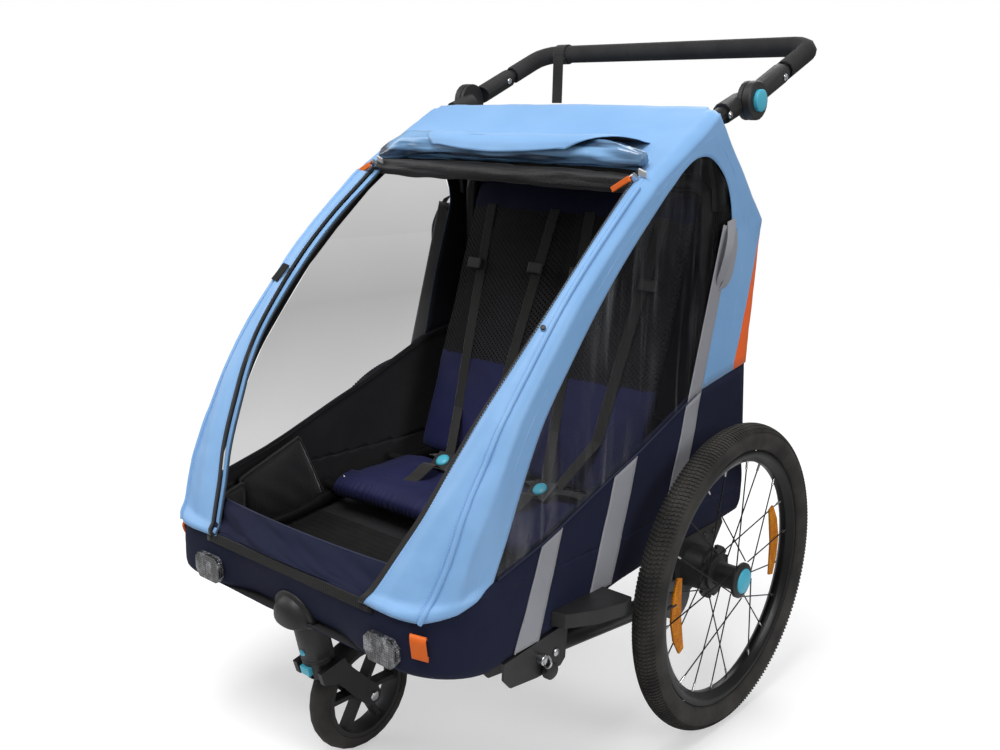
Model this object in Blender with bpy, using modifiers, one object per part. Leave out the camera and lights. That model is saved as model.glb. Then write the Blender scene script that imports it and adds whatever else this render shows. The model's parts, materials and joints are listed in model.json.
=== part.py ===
"""Child bike trailer: two-seat cabin on 20 inch wheels with a swivelling front wheel and a push bar.

Metres, +Z up. The cabin faces -Y and its own left side is +X. Lengths along Y are measured from
the rear axle and every object hangs from one empty that stands at that axle on the ground.
"""
import math

import bmesh
import bpy
from mathutils.bvhtree import BVHTree
from mathutils import Matrix, Vector

for old in list(bpy.data.objects):
    bpy.data.objects.remove(old, do_unlink=True)

# Clearances
GAP = 0.0003                # between touching pieces
RUN = 0.0012                # running clearance beside a turning piece

# Width of the cabin, which everything beside it follows
BODY_HALF = 0.3053          # outside of the cloth from the middle
WHEEL_OUT = 0.0624          # wheel plane outside the cloth
RIDGE_INSIDE = 0.0133       # top edge of the side, inside the cloth's side
RAIL_INSIDE = 0.0213        # floor rails and front hoop
UPRIGHT_INSIDE = 0.0493     # seat back frame
PLATE_INSIDE = 0.0035       # outer face of the axle side plates
PLATE_WALL = 0.0050

# Rear wheels
WHEEL_R = 0.250
TYRE_R = 0.0237             # tyre section radius
TYRE_SEAT = 0.0059          # depth of the tyre down over the rim
TRACK_HALF = BODY_HALF + WHEEL_OUT
RIM_R = WHEEL_R - 2 * TYRE_R + TYRE_SEAT
RIM_DEPTH = 0.020
RIM_HALF = 0.0135
SPOKE_R = 0.0010
SPOKES = 20
HUB_FLANGE_R = 0.0290
HUB_BARREL_R = 0.0195
BRAKE_DISC_R = 0.0440
BRAKE_NOTCHES = 6
CAP_R = 0.0205
CAP_TRAVEL = 0.004
STEP_CLEAR = 0.0085         # foot ledge in front of the tyre

# Frame tubes
TUBE_R = 0.0125
RAIL_X = BODY_HALF - RAIL_INSIDE
UPRIGHT_X = BODY_HALF - UPRIGHT_INSIDE
CROSS_R = 0.010             # cross tubes and seat bars
WELD = 0.003                # overlap of tubes welded together
RAIL_RISE = 0.0161          # rail centre above the underside of the floor cloth
RAIL_FRONT = -0.5260
RAIL_REAR = 0.128
HOOP_PIVOT = (-0.520, 0.302)
BACK_PIVOT = (0.070, 0.330)
BACK_TOP = (0.055, 0.865)
FRONT_CROSS_Y = -0.515
REAR_CROSS_Y = 0.112
SEAT_BAR_FRONT_Y = -0.275
SEAT_BAR_REAR_Y = -0.120
AXLE_TUBE_R = 0.0125
PLATE_OUTER = BODY_HALF - PLATE_INSIDE
PLATE_INNER = PLATE_OUTER - PLATE_WALL
STUB_R = 0.0065             # stub axle in the hub

# Cabin cloth
CLOTH = 0.003
FILM = 0.0014
HOOP_DEPTH = 0.0215         # hoop centre line behind the cloth
RIDGE_X = BODY_HALF - RIDGE_INSIDE    # where the side turns into the roof and front strips
FRONT_CORNER_R = 0.088      # plan radius of the lower body's front corners
FRONT_CORNER = (BODY_HALF - FRONT_CORNER_R, -0.510)
REAR_CORNER_R = 0.030
REAR_CORNER = (BODY_HALF - REAR_CORNER_R, 0.133)
CROWN = 0.004               # rise of the roof at its middle

# Push bar
HUB_Y = 0.090
HUB_Z = 0.9935
HUB_R = 0.0300
HUB_INNER = RAIL_X + 0.0050    # faces of the two hub halves, from the middle
HUB_SEAM = HUB_INNER + 0.0085
HUB_OUTER = HUB_SEAM + 0.0145
ARM_X = HUB_SEAM - 0.0055      # centre line of the push bar's side
BAR_REACH = 0.2345          # from the hub axis to the cross bar
BAR_ANGLE = math.radians(24.3)
SLEEVE_R = 0.0167
SLEEVE_END = 0.1120         # sleeve end from the hub axis
FOAM_START = 0.1250         # foam grip end from the hub axis
GRIP_R = 0.0166
BAR_TUBE_R = 0.0125
BAR_CORNER_R = 0.035
BOLT_R = 0.0025
BOLT_REACH = 0.095          # sleeve bolt from the hub axis
STRAP_WALL = 0.0027         # wrist strap outside the grip
BUTTON_R = 0.0170
BUTTON_RECESS = HUB_OUTER - 0.0075
BUTTON_TRAVEL = 0.0025

# Front wheel and its fork
SWIVEL_Y = -0.539
CASTER_Y = -0.457
CASTER_R = 0.0943
CASTER_HALF = 0.0190
CASTER_RIM_R = 0.0720
CASTER_SPOKES = 6
SEAM_Z = 0.1815             # turning joint between socket and fork
RAKE = math.radians(14)     # lean of the swivel axis, its top forward
SOCKET_R = 0.0245
ELBOW_R = 0.0212
ELBOW_Z = 0.2698
ELBOW_FRONT = -0.603
HOOD_R = 0.0500             # half dome round the elbow, on the front of the cloth
HOOD_Z = 0.2340
HOOD_FRONT = -0.6120
FORK_HEAD_R = 0.0240
FORK_INNER = 0.0236
FORK_WALL = 0.0090
STEM_R = 0.0060

# Tow arm under the left side
ARM_TUBE_R = 0.0150
BRACKET_WALL = 0.004
BRACKET_FRONT = -0.475
BRACKET_REAR = -0.338
PIN_R = 0.0040

# Reach of the whole trailer either side of the rear axle, for the middle of its length
FRONT_REACH = 0.6066
REAR_REACH = HUB_Y + BAR_REACH * math.cos(BAR_ANGLE) + GRIP_R + STRAP_WALL
AXLE_Y = (FRONT_REACH - REAR_REACH) / 2

# Outer edge line of the cloth in side view, (y, z), up the front, over the roof and down the back
RIDGE = [
    (-0.5850, 0.3530), (-0.5715, 0.3700), (-0.5555, 0.4082), (-0.5354, 0.4590), (-0.5013, 0.5243),
    (-0.4679, 0.5790), (-0.4250, 0.6370), (-0.3531, 0.7233), (-0.2812, 0.7925), (-0.2046, 0.8588),
    (-0.1650, 0.8870), (-0.1063, 0.9215), (-0.0550, 0.9520), (-0.0070, 0.9795),
    (0.0700, 0.8990), (0.1500, 0.8140), (0.1500, 0.7700), (0.1400, 0.6700), (0.1270, 0.5745),
    (0.1350, 0.4710), (0.1440, 0.4420),
]
ROOF_FRONT = 10             # index in RIDGE where the roof starts
ROOF_REAR = 13
SIDE_END = 18               # last index with a side panel
# How far the ridge is drawn in where the front strips narrow to the nose
RIDGE_INSET = [0.030, 0.022, 0.012, 0.008, 0.005, 0.003, 0.001]
# Inner edge of the front strips up to the roof, (distance in from the ridge, y, z)
OPENING = [
    (0.122, -0.5925, 0.3490), (0.111, -0.5810, 0.3700), (0.095, -0.5630, 0.4080),
    (0.074, -0.5380, 0.4590), (0.056, -0.5025, 0.5243), (0.042, -0.4700, 0.5790),
    (0.029, -0.4255, 0.6370), (0.019, -0.3470, 0.7233), (0.018, -0.2750, 0.7925),
    (0.022, -0.1960, 0.8588), (0.024, -0.1640, 0.8880),
]
# Side window seam, one point for each ridge point that has a side panel, (y, z)
WINDOW = [
    (-0.500, 0.3755), (-0.492, 0.3920), (-0.476, 0.4250), (-0.453, 0.4780), (-0.426, 0.5350),
    (-0.400, 0.5800), (-0.360, 0.6320), (-0.300, 0.7050), (-0.235, 0.7730), (-0.156, 0.8450),
    (-0.128, 0.8680), (-0.100, 0.8900), (-0.066, 0.9060), (-0.024, 0.9040),
    (0.022, 0.8700), (0.045, 0.8150), (0.036, 0.7650), (0.008, 0.6700), (-0.0195, 0.5480),
]
# Top and bottom of the navy tub along its side, (y, z)
TUB_TOP = [
    (-0.600, 0.345), (-0.560, 0.358), (-0.543, 0.364), (-0.496, 0.374), (-0.404, 0.399),
    (-0.360, 0.414), (-0.242, 0.459), (-0.185, 0.479), (-0.023, 0.546), (0.114, 0.571),
    (0.128, 0.440), (0.200, 0.440),
]
TUB_BOTTOM = [
    (-0.610, 0.257), (-0.560, 0.254), (-0.500, 0.250), (-0.353, 0.266), (-0.210, 0.288),
    (-0.045, 0.303), (0.093, 0.309), (0.200, 0.318),
]

COLOURS = {
    "light_blue_cloth": ((0.30, 0.55, 0.90), 0.75, 0.0),
    "navy_cloth": ((0.012, 0.016, 0.050), 0.80, 0.0),
    "seat_cloth": ((0.025, 0.027, 0.100), 0.80, 0.0),
    "black_web": ((0.020, 0.019, 0.018), 0.85, 0.0),
    "clear_film": ((0.75, 0.78, 0.80), 0.10, 0.0),
    "black_tube": ((0.015, 0.015, 0.016), 0.35, 0.0),
    "black_plastic": ((0.022, 0.022, 0.023), 0.50, 0.0),
    "black_foam": ((0.025, 0.025, 0.026), 0.90, 0.0),
    "rubber": ((0.030, 0.029, 0.028), 0.80, 0.0),
    "black_alloy": ((0.018, 0.018, 0.018), 0.30, 0.6),
    "chrome": ((0.75, 0.76, 0.78), 0.18, 1.0),
    "cyan_plastic": ((0.06, 0.42, 0.60), 0.40, 0.0),
    "amber_lens": ((0.80, 0.30, 0.01), 0.25, 0.0),
    "clear_lens": ((0.60, 0.62, 0.64), 0.20, 0.0),
    "grey_plastic": ((0.10, 0.11, 0.13), 0.45, 0.0),
}

parts = bpy.data.collections.new("child_bike_trailer")
cutters = bpy.data.collections.new("cutters")
cutters.hide_render = True
bpy.context.scene.collection.children.link(parts)
bpy.context.scene.collection.children.link(cutters)

origin = bpy.data.objects.new("axle_on_ground", None)
origin.location = (0, AXLE_Y, 0)
parts.objects.link(origin)


def material(name):
    """Principled material of one of the trailer's finishes."""
    found = bpy.data.materials.get(name)
    if found:
        return found
    colour, roughness, metallic = COLOURS[name]
    made = bpy.data.materials.new(name)
    made.use_nodes = True
    shader = made.node_tree.nodes["Principled BSDF"]
    shader.inputs["Base Color"].default_value = (*colour, 1)
    shader.inputs["Roughness"].default_value = roughness
    shader.inputs["Metallic"].default_value = metallic
    return made


def add(name, data, finish=None, location=(0, 0, 0), rotation=(0, 0, 0)):
    """Object in the trailer's collection, or a cutter where no finish is given."""
    obj = bpy.data.objects.new(name, data)
    obj.location = location
    obj.rotation_euler = rotation
    obj.parent = origin
    if finish is None:
        cutters.objects.link(obj)
        obj.hide_render = True
        obj.display_type = "WIRE"
    else:
        parts.objects.link(obj)
        data.materials.append(material(finish))
    return obj


def smooth_shade(mesh, angle=35):
    mesh.shade_smooth()
    mesh.set_sharp_from_angle(angle=math.radians(angle))


def from_bmesh(name, bm, smooth=True):
    mesh = bpy.data.meshes.new(name)
    bm.to_mesh(mesh)
    bm.free()
    if smooth:
        smooth_shade(mesh)
    return mesh


def box_mesh(name, size, centre=(0, 0, 0), bevel=0.0):
    """Block with its edges rounded by the bevel width."""
    bm = bmesh.new()
    bmesh.ops.create_cube(bm, size=1.0)
    bmesh.ops.scale(bm, vec=size, verts=bm.verts)
    if bevel:
        bmesh.ops.bevel(bm, geom=bm.edges[:], offset=bevel, segments=2, affect="EDGES", profile=0.5)
    bmesh.ops.translate(bm, vec=centre, verts=bm.verts)
    return from_bmesh(name, bm)


def cylinder_mesh(name, radius, length, axis="X", centre=(0, 0, 0), sides=24, far_radius=None):
    """Cylinder or cone along an axis, about its centre."""
    bm = bmesh.new()
    bmesh.ops.create_cone(
        bm, cap_ends=True, segments=sides, radius1=radius,
        radius2=radius if far_radius is None else far_radius, depth=length,
    )
    turn = {"X": Matrix.Rotation(math.pi / 2, 4, "Y"), "Y": Matrix.Rotation(-math.pi / 2, 4, "X")}
    if axis in turn:
        bmesh.ops.transform(bm, matrix=turn[axis], verts=bm.verts)
    bmesh.ops.translate(bm, vec=centre, verts=bm.verts)
    return from_bmesh(name, bm)


def join_meshes(name, meshes):
    """One mesh holding several separate solids."""
    bm = bmesh.new()
    for mesh in meshes:
        bm.from_mesh(mesh)
    return from_bmesh(name, bm)


def turned_mesh(name, profile, steps=32):
    """Profile of (radius, height) points, down its outer side, turned about Z by a Screw modifier."""
    mesh = bpy.data.meshes.new(name)
    closed = profile[0] == profile[-1]
    points = profile[:-1] if closed else profile
    edges = [(i, i + 1) for i in range(len(points) - 1)]
    if closed:
        edges.append((len(points) - 1, 0))
    mesh.from_pydata([(r, 0, z) for r, z in points], edges, [])
    holder = bpy.data.objects.new(name + "_profile", mesh)
    cutters.objects.link(holder)
    screw = holder.modifiers.new("turn", "SCREW")
    screw.steps = steps
    screw.render_steps = steps
    screw.use_merge_vertices = True
    screw.merge_threshold = 0.00005
    made = evaluated_mesh(holder, name)
    bpy.data.objects.remove(holder)
    smooth_shade(made)
    return made


def evaluated_mesh(obj, name):
    bpy.context.view_layer.update()
    graph = bpy.context.evaluated_depsgraph_get()
    return bpy.data.meshes.new_from_object(obj.evaluated_get(graph), depsgraph=graph)


def welded(mesh, distance=0.00002):
    bm = bmesh.new()
    bm.from_mesh(mesh)
    bmesh.ops.remove_doubles(bm, verts=bm.verts, dist=distance)
    bmesh.ops.recalc_face_normals(bm, faces=bm.faces)
    bm.to_mesh(mesh)
    bm.free()
    return mesh


def tube_mesh(name, points, radius, resolution=2, cyclic=False):
    """Round tube with filled ends along a run of points."""
    curve = bpy.data.curves.new(name, "CURVE")
    curve.dimensions = "3D"
    curve.bevel_depth = radius
    curve.bevel_resolution = resolution
    curve.use_fill_caps = not cyclic
    spline = curve.splines.new("POLY")
    spline.points.add(len(points) - 1)
    for point, place in zip(spline.points, points):
        point.co = (*place, 1)
    spline.use_cyclic_u = cyclic
    return mesh_of_curve(curve, name)


def mesh_of_curve(curve, name):
    holder = bpy.data.objects.new(name, curve)
    cutters.objects.link(holder)
    made = welded(evaluated_mesh(holder, name))
    bpy.data.objects.remove(holder)
    bpy.data.curves.remove(curve)
    smooth_shade(made)
    return made


def plate_mesh(name, outline, thickness, centre_x, holes=()):
    """Flat sheet of the given (y, z) outline, standing across X, with round holes (y, z, radius)."""
    curve = bpy.data.curves.new(name, "CURVE")
    curve.dimensions = "2D"
    curve.fill_mode = "BOTH"
    curve.extrude = thickness / 2
    rings = [list(outline)]
    for y, z, radius in holes:
        rings.append([
            (y + radius * math.cos(math.tau * k / 12), z + radius * math.sin(math.tau * k / 12))
            for k in range(12)
        ])
    for ring in rings:
        spline = curve.splines.new("POLY")
        spline.points.add(len(ring) - 1)
        for point, (y, z) in zip(spline.points, ring):
            point.co = (y, z, 0, 1)
        spline.use_cyclic_u = True
    made = mesh_of_curve(curve, name)
    # The curve's plane is turned to stand in Y and Z.
    made.transform(Matrix(((0, 0, 1, centre_x), (1, 0, 0, 0), (0, 1, 0, 0), (0, 0, 0, 1))))
    return made


def along_x(mesh):
    """Turns a body made about Z so that its axis lies along X, its top towards +X."""
    mesh.transform(Matrix.Rotation(math.pi / 2, 4, "Y"))
    return mesh


def mirrored(mesh, name):
    """Copy of a mesh reflected to the other side, with its faces still outward."""
    other = mesh.copy()
    other.name = name
    other.transform(Matrix.Scale(-1, 4, (1, 0, 0)))
    other.flip_normals()
    return other


def boolean(obj, cutter, operation="DIFFERENCE"):
    step = obj.modifiers.new(operation.lower(), "BOOLEAN")
    step.operation = operation
    step.object = cutter
    return step


def fused(name, meshes):
    """Solids joined into one by Boolean union."""
    base = bpy.data.objects.new(name, meshes[0])
    cutters.objects.link(base)
    helpers = []
    for mesh in meshes[1:]:
        helper = bpy.data.objects.new(name + "_joined", mesh)
        cutters.objects.link(helper)
        helpers.append(helper)
        boolean(base, helper, "UNION")
    made = welded(evaluated_mesh(base, name), 0.000002)
    for obj in [base, *helpers]:
        bpy.data.objects.remove(obj)
    smooth_shade(made)
    return made


def cut(name, mesh, cutter_meshes):
    """A solid with other solids taken out of it."""
    base = bpy.data.objects.new(name, mesh)
    cutters.objects.link(base)
    helpers = []
    for cutter_mesh in cutter_meshes:
        helper = bpy.data.objects.new(name + "_cut", cutter_mesh)
        cutters.objects.link(helper)
        helpers.append(helper)
        boolean(base, helper)
    made = welded(evaluated_mesh(base, name), 0.000002)
    for obj in [base, *helpers]:
        bpy.data.objects.remove(obj)
    smooth_shade(made)
    return made


def spread(points, value):
    """Height of a run of (y, z) points at a y."""
    if value <= points[0][0]:
        return points[0][1]
    for (y0, z0), (y1, z1) in zip(points, points[1:]):
        if value <= y1:
            return z0 + (z1 - z0) * (value - y0) / (y1 - y0)
    return points[-1][1]


def inward(points, distance):
    """Run of (y, z) points moved to its right-hand side, which is the inside of the cabin."""
    moved = []
    for k, point in enumerate(points):
        before = Vector(points[max(k - 1, 0)])
        after = Vector(points[min(k + 1, len(points) - 1)])
        along = (after - before).normalized()
        moved.append((point[0] + along.y * distance, point[1] - along.x * distance))
    return moved


# Rear wheels

def rear_tyre():
    """Round section flattened where it seats on the rim."""
    seat_r = RIM_R + GAP
    centre_r = WHEEL_R - TYRE_R
    foot = math.asin((seat_r - centre_r) / TYRE_R)
    count = 8
    section = [
        (centre_r + TYRE_R * math.sin(foot + (math.pi - 2 * foot) * k / count),
         TYRE_R * math.cos(foot + (math.pi - 2 * foot) * k / count))
        for k in range(count + 1)
    ]
    return along_x(turned_mesh("tyre", [*section, section[0]], 36))


def rear_rim():
    """Box rim with a flange at each edge and a drawn-in inner face."""
    inner = RIM_R - RIM_DEPTH
    bed = RIM_R - 0.004
    half = RIM_HALF
    section = [
        (RIM_R, half), (RIM_R, half - 0.002), (bed, half - 0.004), (bed, -half + 0.004),
        (RIM_R, -half + 0.002), (RIM_R, -half), (RIM_R - 0.009, -half), (inner, -half * 0.35),
        (inner, half * 0.35), (RIM_R - 0.009, half), (RIM_R, half),
    ]
    return along_x(turned_mesh("rim", section, 36))


def rear_hub():
    """Notched brake disc, inner flange, barrel, outer flange and the seat of the release cap."""
    disc = -0.0300
    profile = [
        (0.0, 0.0225), (CAP_R + GAP, 0.0225), (CAP_R + GAP, 0.0290), (0.0240, 0.0290),
        (HUB_FLANGE_R, 0.0265), (HUB_FLANGE_R, 0.0215), (HUB_BARREL_R, 0.0190),
        (HUB_BARREL_R, -0.0170), (HUB_FLANGE_R, -0.0195), (HUB_FLANGE_R, -0.0240),
        (BRAKE_DISC_R, -0.0240), (BRAKE_DISC_R, disc), (STUB_R + GAP, disc),
        (STUB_R + GAP, 0.0200), (0.0, 0.0200),
    ]
    body = turned_mesh("hub", profile, 20)
    notches = [
        box_mesh("notch", (0.011, 0.008, 0.012), (BRAKE_DISC_R, 0, -0.027))
        for _ in range(BRAKE_NOTCHES)
    ]
    for k, notch in enumerate(notches):
        notch.transform(Matrix.Rotation(math.tau * k / BRAKE_NOTCHES, 4, "Z"))
    return along_x(cut("hub", body, [join_meshes("notches", notches)]))


def spoked_rim():
    """Rim with two crossed sets of spokes from each hub flange, as one body."""
    spokes = []
    lean = math.radians(52)
    for k in range(SPOKES):
        angle = math.tau * (k + 0.5) / SPOKES
        outer = k % 2 == 0
        leading = (k // 2) % 2 == 0
        side = 1 if outer else -1
        hub_angle = angle + (lean if leading else -lean)
        shift = 0.0016 if leading else -0.0016
        hub_x = side * (0.0240 if outer else 0.0205) + shift
        hub_r = HUB_FLANGE_R + GAP + SPOKE_R
        rim_r = RIM_R - RIM_DEPTH + 0.003
        start = Vector((hub_x, hub_r * math.cos(hub_angle), hub_r * math.sin(hub_angle)))
        end = Vector((side * 0.0018 + shift, rim_r * math.cos(angle), rim_r * math.sin(angle)))
        spokes.append(tube_mesh("spoke", [start, end], SPOKE_R, 0))
    return fused("spoked_rim", [rear_rim(), join_meshes("spokes", spokes)])


def spoke_reflector(turn, x):
    """Long amber reflector held between the spokes, near the rim."""
    outer = RIM_R - RIM_DEPTH - 0.0205
    outline = [(outer - 0.0320, -0.0610), (outer - 0.0200, -0.0650), (outer - 0.0060, -0.0360),
               (outer, 0.0), (outer - 0.0060, 0.0360), (outer - 0.0200, 0.0650),
               (outer - 0.0320, 0.0610), (outer - 0.0270, 0.0)]
    lens = plate_mesh("lens", outline, 0.0036, x)
    lens.transform(Matrix.Rotation(turn, 4, "X"))
    return lens


def release_cap():
    """Domed push cap in the end of the hub."""
    profile = [
        (0.0, 0.0345), (CAP_R * 0.6, 0.0338), (CAP_R * 0.9, 0.0318), (CAP_R, 0.0300),
        (CAP_R, 0.0270), (0.0, 0.0270),
    ]
    return along_x(turned_mesh("release_cap", profile, 20))


def build_rear_wheels():
    pieces = [
        ("rear_tyre", rear_tyre(), "rubber"), ("spoked_rim", spoked_rim(), "black_alloy"),
        ("wheel_hub", rear_hub(), "black_plastic"),
        ("front_spoke_reflector", spoke_reflector(math.radians(188), 0.0001), "amber_lens"),
        ("rear_spoke_reflector", spoke_reflector(math.radians(8), 0.0001), "amber_lens"),
        ("release_cap", release_cap(), "cyan_plastic"),
    ]
    for name, mesh, finish in pieces:
        add(name + "_left", mesh, finish, (TRACK_HALF, 0, WHEEL_R))
        add(name + "_right", mirrored(mesh, name + "_right"), finish, (-TRACK_HALF, 0, WHEEL_R))


build_rear_wheels()


# Floor and frame

def floor_z(y):
    """Underside of the floor cloth."""
    return spread(TUB_BOTTOM, y)


def floor_slope(y):
    return math.atan2(floor_z(y + 0.002) - floor_z(y - 0.002), 0.004)


def rail_z(y):
    return floor_z(y) + RAIL_RISE


def seat_bar_z(y):
    """Centre of a bar laid across the rails."""
    return rail_z(y) + TUBE_R + CROSS_R - WELD


def cross_tube(name, y, z, half, radius=CROSS_R):
    return cylinder_mesh(name, radius, 2 * half, "X", (0, y, z), 8)


def hinge_plate(name, outline, holes, x):
    """Pair of bearing plates, one each side."""
    plate = plate_mesh(name, outline, 0.006, x, holes)
    return [plate, mirrored(plate, name + "_right")]


def build_floor_frame():
    rail_points = [RAIL_FRONT, -0.500, -0.353, -0.210, -0.045, 0.093, RAIL_REAR]
    rail = tube_mesh("rail", [(RAIL_X, y, rail_z(y)) for y in rail_points], TUBE_R, 2)
    inside = RAIL_X - TUBE_R + WELD
    bar_half = RAIL_X + 0.006
    front_z = rail_z(FRONT_CROSS_Y)
    rear_z = rail_z(REAR_CROSS_Y)
    front_plate = [
        (-0.537, 0.302), (-0.532, 0.315), (-0.520, 0.320), (-0.508, 0.315), (-0.503, 0.302),
        (-0.499, 0.272), (-0.501, 0.2575), (-0.529, 0.2590), (-0.532, 0.272),
    ]
    rear_plate = [
        (0.053, 0.330), (0.058, 0.342), (0.070, 0.347), (0.084, 0.342), (0.124, 0.338),
        (0.127, 0.326), (0.124, 0.3150), (0.112, 0.3145), (0.070, 0.3130), (0.057, 0.318),
    ]
    bearing = CROSS_R / math.cos(math.pi / 12) + GAP   # clears the tube at the flats of the hole
    pieces = [
        rail, mirrored(rail, "rail_right"),
        cross_tube("front_cross", FRONT_CROSS_Y, front_z, inside),
        cross_tube("rear_cross", REAR_CROSS_Y, rear_z, inside),
        cross_tube("seat_bar_front", SEAT_BAR_FRONT_Y, seat_bar_z(SEAT_BAR_FRONT_Y), bar_half),
        cross_tube("seat_bar_rear", SEAT_BAR_REAR_Y, seat_bar_z(SEAT_BAR_REAR_Y), bar_half),
        *hinge_plate("front_hinge", front_plate,
                     [(*HOOP_PIVOT, bearing)], RAIL_X - 0.026),
        *hinge_plate("rear_hinge", rear_plate,
                     [(*BACK_PIVOT, bearing)], UPRIGHT_X - 0.034),
    ]
    add("floor_frame", fused("floor_frame", pieces), "black_tube")


def build_axle():
    """Cross tube, side plates, bearing bosses, stub axles and the clamps under the floor rails."""
    tube = cylinder_mesh("axle_tube", AXLE_TUBE_R, 2 * PLATE_INNER + WELD, "X", (0, 0, WHEEL_R), 16)
    under = [(y, floor_z(y) - GAP - 0.0002) for y in (-0.085, -0.045, 0.088)]
    outline = [
        *under, (0.092, 0.300), (0.066, WHEEL_R + 0.014), (0.046, WHEEL_R - 0.018),
        (0.030, WHEEL_R - 0.036), (0.0, WHEEL_R - 0.044), (-0.030, WHEEL_R - 0.036),
        (-0.046, WHEEL_R - 0.010), (-0.062, WHEEL_R + 0.022),
    ]
    plate = plate_mesh("plate", outline, PLATE_OUTER - PLATE_INNER, (PLATE_OUTER + PLATE_INNER) / 2)
    hub_face = TRACK_HALF - 0.0300
    boss_end = hub_face - RUN
    boss = [
        (0.0, boss_end), (0.030, boss_end), (0.034, boss_end - 0.004),
        (0.036, PLATE_OUTER - 0.002), (0.0, PLATE_OUTER - 0.002),
    ]
    boss_mesh = along_x(turned_mesh("boss", boss, 20))
    boss_mesh.transform(Matrix.Translation((0, 0, WHEEL_R)))
    stub_end = TRACK_HALF + 0.0195
    stub = cylinder_mesh("stub", STUB_R, stub_end - boss_end + 0.004, "X",
                         ((stub_end + boss_end - 0.004) / 2, 0, WHEEL_R), 16)
    clamp_x = (RAIL_X - 0.016, PLATE_INNER + 0.001)
    clamp_top = [(y, floor_z(y) - GAP - 0.0005) for y in (0.028, 0.084)]
    clamp = plate_mesh("clamp", [*clamp_top, (0.080, 0.284), (0.034, 0.276)],
                       clamp_x[1] - clamp_x[0], sum(clamp_x) / 2)
    head = along_x(turned_mesh("head", [
        (0.0, 0.0040), (0.0040, 0.0036), (0.0060, 0.0018), (0.0060, -0.001), (0.0, -0.001),
    ], 12))
    bolts = []
    for y in (0.036, 0.064):
        bolt = head.copy()
        bolt.transform(Matrix.Translation((PLATE_OUTER, y, 0.2920)))
        bolts.append(bolt)
    left = [plate, boss_mesh, stub, clamp, *bolts]
    right = [mirrored(mesh, mesh.name + "_right") for mesh in left]
    add("rear_axle", fused("rear_axle", [tube, *left, *right]), "black_plastic")


def build_floor_mat():
    """Ribbed rubber mat on the floor in front of the seat."""
    rest = CLOTH + 2 * GAP
    front, rear, ribs = -0.486, -0.312, 14
    bottom = [(rear, floor_z(rear) + rest), (-0.353, floor_z(-0.353) + rest),
              (front, floor_z(front) + rest)]
    top = []
    pitch = (rear - front) / ribs
    for k in range(ribs):
        for share, high in ((0.0, 0.0035), (0.25, 0.0065), (0.70, 0.0065), (0.95, 0.0035)):
            y = front + (k + share) * pitch
            top.append((y, floor_z(y) + rest + high))
    mat = plate_mesh("floor_mat", [*bottom, *top], 2 * (RAIL_X - 0.024), 0.0)
    add("floor_mat", mat, "rubber")


# Lower body

def plan_ring():
    """Right half of the lower body's plan from the front middle to the back middle, (x, y, inward)."""
    ring = [(0.0, FRONT_CORNER[1] - FRONT_CORNER_R, (0, 1))]
    ring.append((0.110, ring[0][1], (0, 1)))
    for k in range(6):
        turn = math.pi / 2 * k / 5
        ring.append((FRONT_CORNER[0] + FRONT_CORNER_R * math.sin(turn),
                     FRONT_CORNER[1] - FRONT_CORNER_R * math.cos(turn),
                     (-math.sin(turn), math.cos(turn))))
    for y in (-0.496, -0.404, -0.353, -0.242, -0.210, -0.185, -0.104, -0.045, -0.023, 0.048, 0.093,
              0.114, 0.128):
        ring.append((BODY_HALF, y, (-1, 0)))
    for k in range(4):
        turn = math.pi / 2 * k / 3
        ring.append((REAR_CORNER[0] + REAR_CORNER_R * math.cos(turn),
                     REAR_CORNER[1] + REAR_CORNER_R * math.sin(turn),
                     (-math.cos(turn), -math.sin(turn))))
    ring.append((0.120, ring[-1][1], (0, -1)))
    ring.append((0.0, ring[-1][1], (0, -1)))
    return ring


def body_top_z(x, y):
    return spread(TUB_TOP, y) if x > 0.18 else min(spread(TUB_TOP, y), 0.440)


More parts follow.
